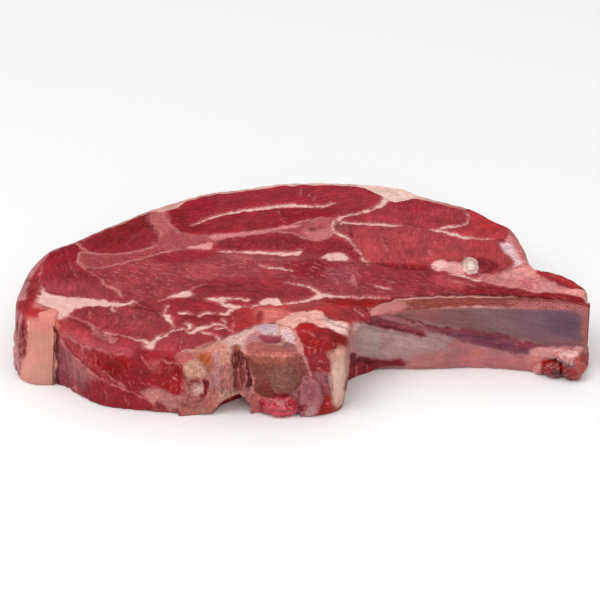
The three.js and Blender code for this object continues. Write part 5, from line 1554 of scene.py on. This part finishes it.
@dataclass
class Rib:
    """The rib: a flat bar along the slice's front right, deepening towards its sawn end.

    Its back edge bows, its upper face is sawn flush with the slice and its inner face follows the wall.
    """

    x0: float = 23.6
    x1: float = 97.9
    tip_depth: float = 2.0
    end_depth: float = 16.0
    proud: float = 0.3
    corner: float = 0.9
    front: FrontWall = FrontWall(21, 97.3, -27)
    bow: Outline = (
        (23.4, -33.5), (24, -31), (25.4, -29), (27.6, -27.4), (31, -25.8), (36, -24.7), (42, -24.1), (57, -23.6),
        (70, -24), (80, -24.9), (90, -26.3), (99, -28.6),
    )

    def share(self, x: np.ndarray) -> np.ndarray:
        """How far along the rib a place lies."""
        return np.clip((x - self.x0) / (99 - self.x0), 0, 1)

    def depth(self, x: np.ndarray) -> np.ndarray:
        """Depth below the face: grows as a sine's power 1.2 along the rib."""
        swell = np.sin(np.pi / 2 * self.share(x)) ** 1.2
        return self.tip_depth + (self.end_depth - self.tip_depth) * swell

    def back_edge(self, x: np.ndarray) -> np.ndarray:
        """Bowed back edge on the face, a smooth curve through the bow's points."""
        edge = smooth_curve(self.bow, 0.5, closed=False)
        return np.interp(x, edge[:, 0], edge[:, 1])

    def plan(self, points: np.ndarray) -> np.ndarray:
        """Field of the rib's region on the face."""
        return np.minimum(points[:, 0] - self.x0, self.back_edge(points[:, 0]) - points[:, 1])

    def build(self) -> Solid:
        """Build the bar: a rounded section in y and z, carried along x.

        The section runs over the face from back to front, down the inner face, and back under the foot. Its
        corners are rounded by lifting each to a power of a circle's quarter.

        Returns:
            The closed mesh.
        """
        stations, face, side, foot, rear = 168, 18, 36, 10, 8
        x = np.linspace(self.x0, self.x1, stations)[:, None]
        depth, back = self.depth(x), self.back_edge(x)
        end = np.sqrt(smooth(-0.4, 1.8, self.x1 - x))
        across = np.linspace(0, 1, face)[None]
        down = np.linspace(0, 1, side)[None, 1:]
        foot_run = np.linspace(0, 1, foot)[None, 1:]
        up = np.linspace(0, 1, rear)[None, 1:-1]
        corner = self.corner
        front = self.front.depth(x, np.full_like(x, THICKNESS)) - self.proud * 0.5
        top_y = back + (front + corner - back) * across
        crown = 25.9 - 0.1 * (2 * across - 1) ** 2 - 0.05 * np.sin(across * 9) - corner * (1 - end)
        top_z = crown + 0 * x
        fall = depth * down
        z = THICKNESS - fall
        rounded = corner * (1 - np.sin(np.pi / 2 * np.clip(fall / 1.4, 0, 1)))
        foot_round = corner * np.clip((fall - depth + 4) / 4, 0, 1) ** 2
        hollow = 0.25 * np.sin(np.pi * down) * smooth(2, 9, depth)
        face_y = self.front.depth(x, z) - self.proud * end * (1 - 0.5 * down) + rounded + foot_round + hollow
        face_y = face_y + corner * (1 - end)
        face_z = np.minimum(z, crown[:, -1:])
        foot_y = face_y[:, -1:] + (back - 0.4 - face_y[:, -1:]) * foot_run
        foot_z = THICKNESS - depth + 0 * foot_run
        back_y = back - 0.4 * (1 - up)
        back_z = THICKNESS - depth + (depth - 0.2) * up
        y = np.concatenate([top_y, face_y, foot_y, back_y + 0 * x], 1)
        z = np.concatenate([top_z, face_z, foot_z + 0 * x, back_z], 1)
        grid = np.stack([np.broadcast_to(x, y.shape), y, z], -1)
        wobble = ripple(grid.reshape(-1, 3), 14, 31).reshape(y.shape) * 0.08
        shown = slice(face, face + side)
        grid[:, shown, 1] += wobble[:, shown]
        wall = np.zeros(y.shape)
        wall[:, face:] = smooth(0, 1.2, THICKNESS - z[:, face:])
        wall[:, face + side :] = 1.0
        facing = np.zeros((*y.shape, 2))
        facing[:, shown, 1] = -1
        return grid_solid(grid, wall, facing)


@dataclass
class Backbone:
    """Half a vertebra, sawn down its middle, with the groove of the spinal canal beside its spine.

    It is swept as upright sections that fan out from the front wall to the bone's back edge.
    """

    left: float = -40.4
    right: float = 0.2
    canal_foot: tuple[float, float, float] = (-23.4, -54.0, 6.4)
    canal_head: tuple[float, float, float] = (-20.0, -58.4, 2.2)
    canal_depth: float = 1.1
    wall: FrontWall = FrontWall(-45, 9, -50)
    arch: Outline = (
        (-30, 0), (-29, 1.6), (-26.6, 4.4), (-24, 6.4), (-22, 7.6), (-20.5, 7.8), (-19, 7), (-17.6, 5.6), (-17, 4),
        (-16.5, 2), (-16, 0),
    )
    back: Outline = (
        (-40.3, -58.2), (-37.5, -57.8), (-32, -56.5), (-26.5, -51.5), (-20, -46.5), (-13.5, -42), (-7.5, -41.2),
        (-2.6, -43.6), (-0.6, -50), (0.2, -57), (0.4, -59.0),
    )

    def carved(self, x: np.ndarray, z: np.ndarray) -> np.ndarray:
        """How far the front is carved in at a place.

        The canal is a leaning cone whose radius falls from foot to head, open only below the arch. Above
        it a shallow strip with upright strands runs beside the body's rim. Two dents, bell curves in x and
        z, lie to its left. Below the body's V-shaped lower edge the tissue steps back.

        Args:
            x: Places along the front.
            z: Their heights.

        Returns:
            The depth of the carving at each.
        """
        rise = z / THICKNESS
        (fx, fy, fr), (hx, hy, hr) = self.canal_foot, self.canal_head
        cx, cy, cr = fx + (hx - fx) * rise, fy + (hy - fy) * rise, fr + (hr - fr) * rise
        chord = np.sqrt(np.maximum(cr**2 - (x - cx) ** 2, 0))
        canal = np.where(chord > 0, cy + self.canal_depth * chord + 59.6, 0)
        arch = np.interp(x, *np.array(self.arch).T)
        canal = np.maximum(canal, 0) * smooth(0, 1.6, chord) * smooth(0.7, -0.7, z - arch)
        rim = np.interp(z, (8, 10, 15, 22, 26), (-16.6, -16.5, -15.6, -17, -19.5))
        strip = smooth(-23, -21.6, x) * smooth(0.3, -0.6, x - rim) * smooth(7, 9.5, z)
        strands = 0.3 * np.sin(x * 4.6 + 0.6 * np.sin(z * 0.6)) + 0.16 * np.sin(x * 8.3 + 0.3 * z)
        dents = 1.1 * np.exp(-(((x + 35) / 1.7) ** 2) - ((z - 14) / 1.2) ** 2)
        dents += 1.2 * np.exp(-(((x + 31) / 1.1) ** 2) - ((z - 11) / 3.0) ** 2)
        edge = 8.2 + 0.42 * np.abs(x + 6.5)
        step = 1.2 * smooth(0.8, -0.8, z - edge) * smooth(-17.5, -15.5, x)
        left = 0.12 * np.sin(x * 3.4 + z * 0.3) * smooth(-28, -26, x) * smooth(-22, -23.5, x)
        return canal + dents + step + left + strip * (1.3 + strands)

    def build(self) -> Solid:
        """Build the closed mesh from the sections' rings: over the face, down the front and back under.

        Returns:
            The closed mesh.
        """
        stations, face, front, foot, rear = 150, 34, 62, 12, 10
        s = np.linspace(0, 1, stations)[:, None]
        back_xy = smooth_curve(self.back, 0.4, closed=False)
        along = np.linspace(0, 1, len(back_xy))
        bx, by = (np.interp(s, along, back_xy[:, k]) for k in (0, 1))
        fx = self.left + (self.right - self.left) * s
        fy = self.wall.depth(fx, np.full_like(fx, THICKNESS))
        length = np.maximum(by - fy, 0.5)
        edge = np.minimum(2.2 - 1.3 * smooth(-26, -17, fx), length * 0.7)
        top = np.linspace(0, 1, face)[None]
        drop = THICKNESS * np.linspace(0, 1, front)[None, 1:]
        z_front = THICKNESS - drop
        wall_x = fx + 0 * drop
        inward = self.carved(wall_x, z_front) - 0.12 * smooth(-39.6, -36, fx)
        inward += 0.35 * smooth(-38.2, -39.8, fx) + 0.3 * smooth(-1.8, -0.4, fx)
        rough = 0.2 * ripple(np.column_stack([wall_x.ravel(), (z_front + 0 * fx).ravel()]), 2.6, 41)
        inward += rough.reshape(inward.shape)
        swell = self.wall.depth(wall_x, z_front + 0 * fx) - fy
        rounded = edge * (1 - np.sqrt(np.clip(1 - (1 - np.clip(drop / edge, 0, 1)) ** 2, 0, 1)))
        heel = 0.8 * np.clip(1 - z_front / 0.8, 0, 1) ** 2
        inward = np.clip(inward + swell + rounded + heel, -0.75, length - 0.45)
        ahead_x, ahead_y = (bx - fx) / length, (by - fy) / length
        tops = edge + (length - edge) * (1 - top)
        under = np.linspace(0, 1, foot + 1)[None, 1:]
        up = np.linspace(0, 1, rear + 1)[None, 1:-1]
        foot_t = inward[:, -1:] + (length - inward[:, -1:]) * under
        crown = self.face_height(fx + tops * ahead_x, fy + tops * ahead_y)
        t = np.concatenate([tops, inward, foot_t, length + 0 * up], 1)
        z = np.concatenate([crown, z_front + 0 * fx, 0.02 + 0 * fx + 0 * under, 25.4 * up + 0 * fx], 1)
        z = np.minimum(z, 25.9)
        grid = np.stack([fx + t * ahead_x, fy + t * ahead_y, z], -1)
        wall = np.zeros(t.shape)
        wall[:, face:] = smooth(0, 1.6, THICKNESS - z[:, face:])
        wall[:, face + front - 1 :] = 2.0
        facing = np.zeros((*t.shape, 2))
        facing[:, face : face + front - 1, 1] = -1
        return grid_solid(grid, wall, facing)

    def face_height(self, x: np.ndarray, y: np.ndarray) -> np.ndarray:
        """Height of the sawn top: level, with a shallow dent at the reddish spot and a low cartilage.

        Args:
            x: Places along the top.
            y: Places across it.

        Returns:
            The height of each, with both bumps as bell curves of the distance to their middle.
        """
        spot = np.exp(-(((x + 9.6) / 2.6) ** 2) - ((y + 51.4) / 2.2) ** 2)
        knob = np.exp(-(((x + 10.4) / 2.8) ** 2) - ((y + 45.4) / 2.6) ** 2)
        flat = ripple(np.column_stack([x.ravel(), y.ravel()]), 4.0, 17).reshape(x.shape)
        return 25.5 + 0.35 * knob - 0.6 * spot + 0.08 * flat


# Red, streaked along its fibres and flecked with fat: deep and slightly moist.
MUSCLE = Finish("raw mutton muscle")
# The same tissue where fat is laid over it, so that its frayed border shows lean between.
SEAM = Finish("moist seam fat")
# Sawn bone full of marrow: dull, with fine dark red pores.
BLADE = Finish("sawn blade bone", 0.5, 0.02, 0.06, 0.3, 0.4, (2.5, 0.7), 0.7, 0.7, pore="#7c2a30", pore_size=0.55)
# The vertebra's body: brownish, with finer pores.
SPONGE = Finish("sawn spongy vertebra", 0.5, 0.02, 0.06, 0.4, 0.45, (2.6, 0.7), 0.7, 0.8, pore="#683a34",
                pore_size=0.5)
# A thin skin over the rib: smooth and even.
RIB_SKIN = Finish("rib under its thin skin", 0.42, 0.05, 0.08, 0.24, 0.3, (9.0, 0.9), 0.3, 0.7, relief=0.04)
# The rib cage's lining: pale, moist, thinly streaked.
MEMBRANE = Finish("moist pleura", 0.4, 0.06, 0.1, 0.4, 0.34, (9.0, 1.0), 0.26, 0.8, relief=0.06)
# Pinkish white fat with red flecks.
FAT = Finish("moist mutton fat", 0.42, 0.05, 0.12, 0.5, 0.5, (3.0, 0.9), 0.7, 0.9, relief=0.1)
# The outer layer of fat: pale and nearly even.
CAP = Finish("outer layer of fat", 0.48, 0.04, 0.12, 0.3, 0.25, (5.0, 1.2), 0.4, 0.9, relief=0.1)
# The fat at the corner, dried tan and nearly even.
DRY_FAT = Finish("dried outer fat", 0.55, 0.02, 0.12, 0.14, 0.16, (7.0, 0.7), 0.16, 0.7, relief=0.05)
# Gristle: smooth and moist.
GRISTLE = Finish("smooth gristle", 0.38, 0.06, 0.12, 0.4, 0.45, (5.0, 0.7), 0.45, 0.8, relief=0.06)
# The sinew: paler and smoother still, with a soft sheen.
SINEW = Finish("moist sinew", 0.4, 0.05, 0.14, 0.3, 0.22, (7.0, 1.0), 0.16, 0.8, relief=0.05)
# Torn wet scraps: the glossiest part.
WET_SCRAP = Finish("wet torn meat", 0.2, 0.35, 0.08, 0.6, 0.6, (2.0, 0.6), 0.8, 0.7, relief=0.16, specular=0.28)


@dataclass(frozen=True)
class Cut:
    """How one piece is cut out of the slice, and how it is dressed.

    Attributes:
        name: The piece's name.
        region: The region that it is cut from.
        less: Regions that are taken out of it.
        finish: Its finish.
        slot: Its material slot.
        node: The CAD node that it takes the place of.
        box: The box that holds it; nothing for its outline's own.
        cell: Spacing of its corners on the face.
        rings: Number of rings down its wall.
        proud: How far its outer wall stands out past its neighbours'.
        top: Height of its face.
        overlap: How far it runs into the regions taken out of it.
        rough: How strongly its wall is roughened, and the seed; nothing for a smooth wall.
        face: What its sawn faces look like.
        wall: What its front wall looks like; nothing where it shows none.
        side: Tone that its other outer walls lean towards.
    """

    name: str
    region: str
    less: tuple[str, ...]
    finish: Finish
    slot: str
    node: str
    box: Box | None
    cell: tuple[float, float]
    rings: int
    proud: float = 0.0
    top: Field = relief
    overlap: float = OVERLAP
    rough: tuple[float, int] | None = None
    face: Painting = FACE
    wall: Painting | None = None
    side: str = "#a4484b"


@dataclass(frozen=True)
class Lump:
    """A torn scrap or a round pad that stands out of the wall.

    Attributes:
        name: The piece's name.
        centre: Its middle.
        radii: Its half sizes.
        rough: How strongly its radius swings.
        seed: Seed of the ripples.
        upright: How much longer than wide the ripples are.
        finish: Its finish.
        slot: Its material slot.
        node: The CAD node that it takes the place of.
    """

    name: str
    centre: tuple[float, float, float]
    radii: tuple[float, float, float]
    rough: float
    seed: int
    upright: float = 1.0
    finish: Finish = WET_SCRAP
    slot: str = "muscle"
    node: str = "meat"

    def build(self) -> Solid:
        """Build an ellipsoid whose radius swings with ripples of three sizes, flattened where it rests.

        Returns:
            The closed mesh.
        """
        rows, ring, pole = 60, 96, 0.02
        polar = np.linspace(pole, np.pi - pole, rows)[:, None]
        turn = np.linspace(0, 2 * np.pi, ring, endpoint=False)[None]
        unit = np.stack([np.sin(polar) * np.cos(turn), np.sin(polar) * np.sin(turn), np.cos(polar) + 0 * turn], -1)
        spread = unit * np.array(self.radii)
        flat = spread.reshape(-1, 3) / (1, 1, self.upright) + self.seed
        swing = ripple(flat, 3.4, self.seed) + 0.55 * ripple(flat, 1.5, self.seed + 1)
        swing = swing + 0.25 * ripple(flat, 0.7, self.seed + 2)
        grid = np.array(self.centre) + spread * (1 + self.rough * swing.reshape(rows, ring, 1))
        grid[..., 2] = np.maximum(grid[..., 2], 0.02)
        return grid_solid(grid, np.ones(rows * ring), np.tile([0.0, -1.0], (rows * ring, 1)))


# The sinew's pale face, and the fat cap's, which is palest over the thick part and redder at both ends.
SINEW_FACE = Painting(Plane.FACE, "#cf9f92", marbling_and_glints=0.3)
CAP_AREAS = [
    Area([(22, 60), (44, 54), (40, 47), (30, 46), (24, 54)], "#f0c8be", 2.0),
    Area([(-90, 0), (-76, 14), (-52, 38), (-60, 60), (-90, 40)], "#b5807a", 2.5, marbling_and_glints=0.7),
    Area([(-95, -10), (-70, 18), (-68, 60), (-95, 60)], "#9c4648", 7.0),
    Area([(52, 60), (52, 40), (70, 20), (70, 60)], "#b06a66", 7.0, 0.8),
    Area([(-54, 38), (-38, 46), (-20, 52), (-20, 64), (-58, 60)], "#c6938b", 2.0, 0.8, marbling_and_glints=0.4),
]
CAP_FACE = Painting(Plane.FACE, "#dba89f", CAP_AREAS, marbling_and_glints=0.2)

# What is set into the flesh, and so is taken out of it.
SET_IN = (
    "blade_bone", "backbone", "neck_muscle", "sinew", "tan_fat", "seam_fat", "brisket_fat", "brisket_tip", "vein",
    "cap", "rib", "flank", "pleura", "infraspinatus", "supraspinatus",
)
# The pieces cut from the slice: those built before the rib and the backbone, and those built after.
MEAT_CUTS = [
    Cut("flesh", "slice", SET_IN, MUSCLE, "muscle", "meat", (-98, -62, 99, 62), (0.5, 0.66), 12, wall=FRONT),
    Cut("infraspinatus", "infraspinatus", ("cap",), MUSCLE, "muscle", "meat", None, (0.5, 0.6), 6),
    Cut("supraspinatus", "supraspinatus", ("cap",), MUSCLE, "muscle", "meat", None, (0.5, 0.6), 6),
    Cut("flank_strip", "flank", ("tan_fat", "seam_fat", "backbone"), MUSCLE, "muscle", "meat",
        (-84, -60, -38, -30), (0.4, 0.5), 46, rough=(0.22, 51), wall=FRONT),
    Cut("pleura_strip", "pleura", ("sinew", "neck_muscle"), MEMBRANE, "muscle", "meat",
        (11, -62, 99, -22), (0.5, 0.5), 46, rough=(0.16, 61), wall=FRONT),
]
INNER_CUTS = [
    Cut("blade", "blade_bone", (), BLADE, "bone", "blade_bone", None, (0.5, 0.6), 5, top=level(25.72, 0.05, 11)),
    Cut("neck_piece", "neck_muscle", ("backbone",), MUSCLE, "muscle", "neck_muscle",
        (-2, -62, 16, -40), (0.35, 0.4), 36, 0.1, level(25.66, 0.12, 12), wall=FRONT),
    Cut("sinew_cord", "sinew", ("neck_muscle",), SINEW, "gristle", "sinew",
        (7, -62, 20, -48), (0.35, 0.35), 36, 0.1, level(24.0, 0.15, 13), 0.5, (0.25, 71), SINEW_FACE, FRONT),
    Cut("tan_block", "tan_fat", (), DRY_FAT, "dried_fat", "tan_fat",
        (-93, -47, -80, -29), (0.35, 0.35), 36, 0.15, level(25.7, 0.06, 14), wall=FRONT),
    Cut("seam_layer", "seam_fat", ("tan_fat",), SEAM, "fat", "seam_fat",
        (-90, -42, -55, -18), (0.4, 0.45), 30, top=level(25.6, 0.12, 15), wall=FRONT),
    Cut("brisket_layer", "brisket_fat", (), FAT, "fat", "brisket_fat",
        None, (0.45, 0.5), 16, 0.1, level(25.62, 0.16, 16), side="#b08068"),
    Cut("brisket_meat", "brisket_tip", ("brisket_fat",), MUSCLE, "muscle", "brisket_tip",
        (80, -26, 100, 0), (0.4, 0.45), 16, 0.1, level(25.6, 0.14, 18)),
    Cut("vein_end", "vein", (), GRISTLE, "gristle", "vein", None, (0.3, 0.3), 4),
    Cut("cap_layer", "cap", (), CAP, "fat", "fat_cap",
        (-80, 12, 62, 62), (0.36, 0.36), 14, 0.12, level(25.66, 0.08, 19), face=CAP_FACE, side="#d39a90"),
]
# Middles and half sizes of the torn scraps at the left end, and of those under the rib's sawn end.
LEFT_RAGS = [
    ((-95.2, -31.6, 7.0), (2.2, 3.2, 6.8)), ((-94.2, -34.8, 8.6), (2.0, 1.9, 8.4)),
    ((-93.4, -35.0, 15.4), (1.4, 1.6, 9.4)), ((-95.4, -30.6, 13.4), (1.7, 2.6, 4.6)),
]
RIB_RAGS = [
    ((92.5, -35, 3.9), (4.2, 3.2, 3.8)), ((86.6, -33.6, 3.0), (3.8, 2.6, 3.0)),
    ((91, -33.2, 7.4), (4.4, 2.2, 2.8)), ((82.4, -31.8, 2.6), (2.8, 2.0, 2.3)),
]
LUMPS = [
    Lump("gristle_pad", (3.3, -58.6, 8), (3.9, 2.3, 7.6), 0.035, 81, 1.0, GRISTLE, "gristle", "gristle"),
    Lump("wet_scrap", (-6.6, -57.4, 2.7), (6.4, 2.9, 3.0), 0.09, 91, node="foot_scrap"),
    *(Lump(f"left_rag_{number}", *shape, 0.09, 101 + 7 * number, 3.0) for number, shape in enumerate(LEFT_RAGS)),
    *(Lump(f"rib_rag_{number}", *shape, 0.075, 151 + 7 * number) for number, shape in enumerate(RIB_RAGS)),
]


@dataclass
class Chop:
    """The whole chop. It cuts the slice into regions, builds each piece and dresses it.

    Attributes:
        form: The slice.
        rib: The rib.
        backbone: The half vertebra.
        fields: Each region's field.
        materials: The materials built so far.
    """

    form: SliceForm = field(default_factory=SliceForm)
    rib: Rib = field(default_factory=Rib)
    backbone: Backbone = field(default_factory=Backbone)
    fields: dict[str, Field] = field(default_factory=dict)
    materials: dict[str, bpy.types.Material] = field(default_factory=dict)

    def __post_init__(self) -> None:
        """Work out the field of each region."""
        for name, outline in (REGIONS | MUSCLES).items():
            self.fields[name] = outline_field(smooth_curve(outline, 0.8))
        lining = outline_field(smooth_curve(LINING, 1.0))

        def pleura(points: np.ndarray) -> np.ndarray:
            """The lining's strip, which also runs behind the rib."""
            return np.maximum(lining(points), self.rib.plan(points))

        self.fields["pleura"] = pleura
        self.fields["flank"] = outline_field(smooth_curve(FLANK, 1.0))
        self.fields["cap"] = self.cap
        self.fields["rib"] = self.rib.plan
        self.fields["slice"] = self.form.face

    def cap(self, points: np.ndarray) -> np.ndarray:
        """The fat cap's band along the back rim, thick where two muscles part.

        Args:
            points: Places on the face.

        Returns:
            Its field: the band's width, with two bell curves along x on it, less the distance to the rim.
        """
        x, y = points.T

        def bump(centre: float, width: float, height: float) -> np.ndarray:
            """A bell curve along x."""
            return height * np.exp(-(((x - centre) / width) ** 2))

        band = 1.8 + 0.5 * smooth(-42, -34, x) + bump(-47, 4.5, 2.8) + bump(33, 6.5, 8.2)
        band += 0.25 * ripple(points, 6.0, 8)
        return np.minimum.reduce([band - self.form.whole(points), y - 13, x + 79, 60 - x])

    def lining_top(self, points: np.ndarray) -> np.ndarray:
        """Height of the lining, which reaches 3 mm up behind the rib."""
        low = THICKNESS - np.maximum(self.rib.depth(points[:, 0]) - 3, 0.4)
        return np.where(self.rib.plan(points) > -0.1, low, relief(points))

    def vein_top(self, points: np.ndarray) -> np.ndarray:
        """Height of the vein's end, raised in its middle."""
        return 25.7 + 0.2 * smooth(0, 2, self.fields["vein"](points))

    def material(self, finish: Finish) -> bpy.types.Material:
        """Build a finish's material once."""
        if finish.name not in self.materials:
            self.materials[finish.name] = finish.build()
        return self.materials[finish.name]

    def add(
        self, name: str, solid: Solid, values: dict[str, np.ndarray], finish: Finish, slot: str, *nodes: str
    ) -> None:
        """Put a dressed piece into the scene, riding on the chop, in the place of its CAD nodes.

        Args:
            name: The piece's name.
            solid: Its mesh.
            values: Its painted values.
            finish: Its finish.
            slot: Its material slot; not used.
            nodes: The CAD nodes that it takes the place of.
        """
        piece = put_mesh(name, solid, values)
        piece.data.materials.append(self.material(finish))
        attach(piece, "root")
        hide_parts(*nodes)
        low, high = solid.points.min(0).round(1), solid.points.max(0).round(1)
        log.info("%s: %d corners, from %s to %s", name, len(solid.points), low, high)

    def carve(self, piece: Cut) -> None:
        """Cut a piece out of the slice, dress it and add it.

        Its field is the least of the face's, its region's and the outsides of the regions taken out.

        Args:
            piece: How it is cut and dressed.
        """
        less = [self.fields[name] for name in piece.less]
        region = cut(both(self.form.face, self.fields[piece.region]), *less, overlap=piece.overlap)
        top = {"pleura_strip": self.lining_top, "vein_end": self.vein_top}.get(piece.name, piece.top)
        box = piece.box or self.box(piece.region)
        slab = Slab(self.form, region, box, piece.cell, piece.rings, piece.proud, top).build()
        if piece.rough:
            self.roughen(slab, *piece.rough)
        values = dressed(slab, piece.face, piece.wall, piece.side)
        self.add(piece.name, slab, values, piece.finish, piece.slot, piece.node)

    def build(self) -> None:
        """Build every piece in turn."""
        for piece in MEAT_CUTS:
            self.carve(piece)
        bar = self.rib.build()
        self.add("rib", bar, dressed(bar, FACE, FRONT), RIB_SKIN, "bone", "rib_bone")
        spine = self.backbone.build()
        self.add("backbone_half", spine, dressed(spine, FACE, FRONT), SPONGE, "bone", "backbone")
        for piece in INNER_CUTS:
            self.carve(piece)
        for piece in LUMPS:
            solid = piece.build()
            self.add(piece.name, solid, dressed(solid, FACE, FRONT), piece.finish, piece.slot, piece.node)

    def box(self, name: str) -> Box:
        """The box that holds a region, with a small margin, inside the slice's own.

        Args:
            name: The region's name.

        Returns:
            Lowest x and y, highest x and y.
        """
        outline = np.array((REGIONS | MUSCLES)[name])
        low = np.maximum(outline.min(0) - 2, (-99, -62))
        high = np.minimum(outline.max(0) + 2, (100, 62))
        return (*low, *high)

    def roughen(self, solid: Solid, amount: float, seed: int) -> None:
        """Push the outer wall in and out by ripples, so that it isn't smooth."""
        swing = ripple(solid.points, 4.0, seed) + 0.5 * ripple(solid.points, 1.6, seed + 1)
        solid.points[:, :2] += (amount * swing * smooth(0.4, 1, solid.wall))[:, None] * solid.outward


@dataclass(frozen=True)
class Lamp:
    """A square area light that faces the chop.

    Attributes:
        name: Its name.
        place: Where it hangs, in metres.
        size: Its width, in metres.
        power: Its power, in watts.
    """

    name: str
    place: tuple[float, float, float]
    size: float
    power: float

    def build(self) -> None:
        """Hang the light in its place, tilted and turned by the place's own angles."""
        lamp = bpy.data.lights.new(self.name, "AREA")
        lamp.shape, lamp.size, lamp.energy = "SQUARE", self.size, self.power
        holder = bpy.data.objects.new(self.name, lamp)
        x, y, z = self.place
        holder.location = self.place
        holder.rotation_euler = (np.arctan2(np.hypot(x, y), z), 0, np.arctan2(y, x) + np.pi / 2)
        bpy.context.scene.collection.objects.link(holder)


@dataclass(frozen=True)
class Studio:
    """The floor, the light and the camera, from the angle of the picture.

    Attributes:
        target: Where the camera looks, in millimetres.
        distance: How far away it stands, in millimetres.
        elevation: How far above the floor it looks from, in degrees.
        lens: Its focal length, in millimetres.
        reach: The floor's half width, in metres.
        paper: How much light the floor gives back.
        zone: The heights of a ray between which the sky brightens.
        glow: The sky's strength below them and above them.
        lamps: A large soft key from the upper left, and a fill.
    """

    target: tuple[float, float, float] = (0.0, -5.5, 14.0)
    distance: float = 850.0
    elevation: float = 30.0
    lens: float = 146.63
    reach: float = 3.0
    paper: float = 0.93
    zone: tuple[float, float] = (0.45, 0.75)
    glow: tuple[float, float] = (0.16, 1.05)
    lamps: tuple[Lamp, ...] = (
        Lamp("key", (-0.5, -0.55, 1.05), 0.9, 6.5),
        Lamp("fill", (0.25, -1.2, 0.6), 0.8, 4.0),
    )

    def build(self) -> None:
        """Build the floor, the sky, the lamps and the camera."""
        self.floor()
        self.sky()
        for lamp in self.lamps:
            lamp.build()
        self.camera()

    def floor(self) -> None:
        """Lay a sheet of dull white paper under the chop."""
        mesh = bpy.data.meshes.new("floor")
        far = self.reach
        mesh.from_pydata([(-far, -far, 0), (far, -far, 0), (far, far, 0), (-far, far, 0)], [], [(0, 1, 2, 3)])
        floor = bpy.data.objects.new("floor", mesh)
        bpy.context.scene.collection.objects.link(floor)
        paper = bpy.data.materials.new("white paper")
        paper.use_nodes = True
        shader = paper.node_tree.nodes["Principled BSDF"]
        shader.inputs["Base Color"].default_value = (self.paper, self.paper, self.paper, 1)
        shader.inputs["Roughness"].default_value = 0.9
        mesh.materials.append(paper)

    def sky(self) -> None:
        """Light the scene from all round, brightest from overhead: its strength rises with the ray's z."""
        world = bpy.data.worlds.new("studio")
        world.use_nodes = True
        tree = world.node_tree
        ray = add_node(tree, "SeparateXYZ", {0: add_node(tree, "TexCoord", out="Generated")}, "Z")
        (low, high), (dim, bright) = self.zone, self.glow
        inputs = {"Value": ray, "From Min": low, "From Max": high, "To Min": dim, "To Max": bright}
        softbox = add_node(tree, "MapRange", inputs)
        background = tree.nodes["Background"]
        background.inputs["Color"].default_value = (1, 1, 1, 1)
        tree.links.new(softbox, background.inputs["Strength"])
        bpy.context.scene.world = world

    def camera(self) -> None:
        """Set up the camera, which looks at the target from its distance and elevation."""
        up = np.radians(self.elevation)
        offset = np.array([0, -np.cos(up), np.sin(up)]) * self.distance
        camera = bpy.data.objects.new("camera", bpy.data.cameras.new("camera"))
        camera.data.lens = self.lens
        camera.data.sensor_width = 36.0
        camera.data.clip_start, camera.data.clip_end = 0.01, 20
        camera.location = (np.array(self.target) + offset) * MM
        camera.rotation_euler = (np.pi / 2 - up, 0, 0)
        bpy.context.scene.collection.objects.link(camera)
        bpy.context.scene.camera = camera
        bpy.context.scene.view_settings.view_transform = "Standard"


def main() -> None:
    """Build the chop and its studio; each piece's extent is logged as it is added."""
    logging.basicConfig(level=logging.INFO, format="%(name)s: %(message)s")
    Chop().build()
    Studio().build()
    bpy.context.view_layer.update()


if __name__ == "__main__":
    main()
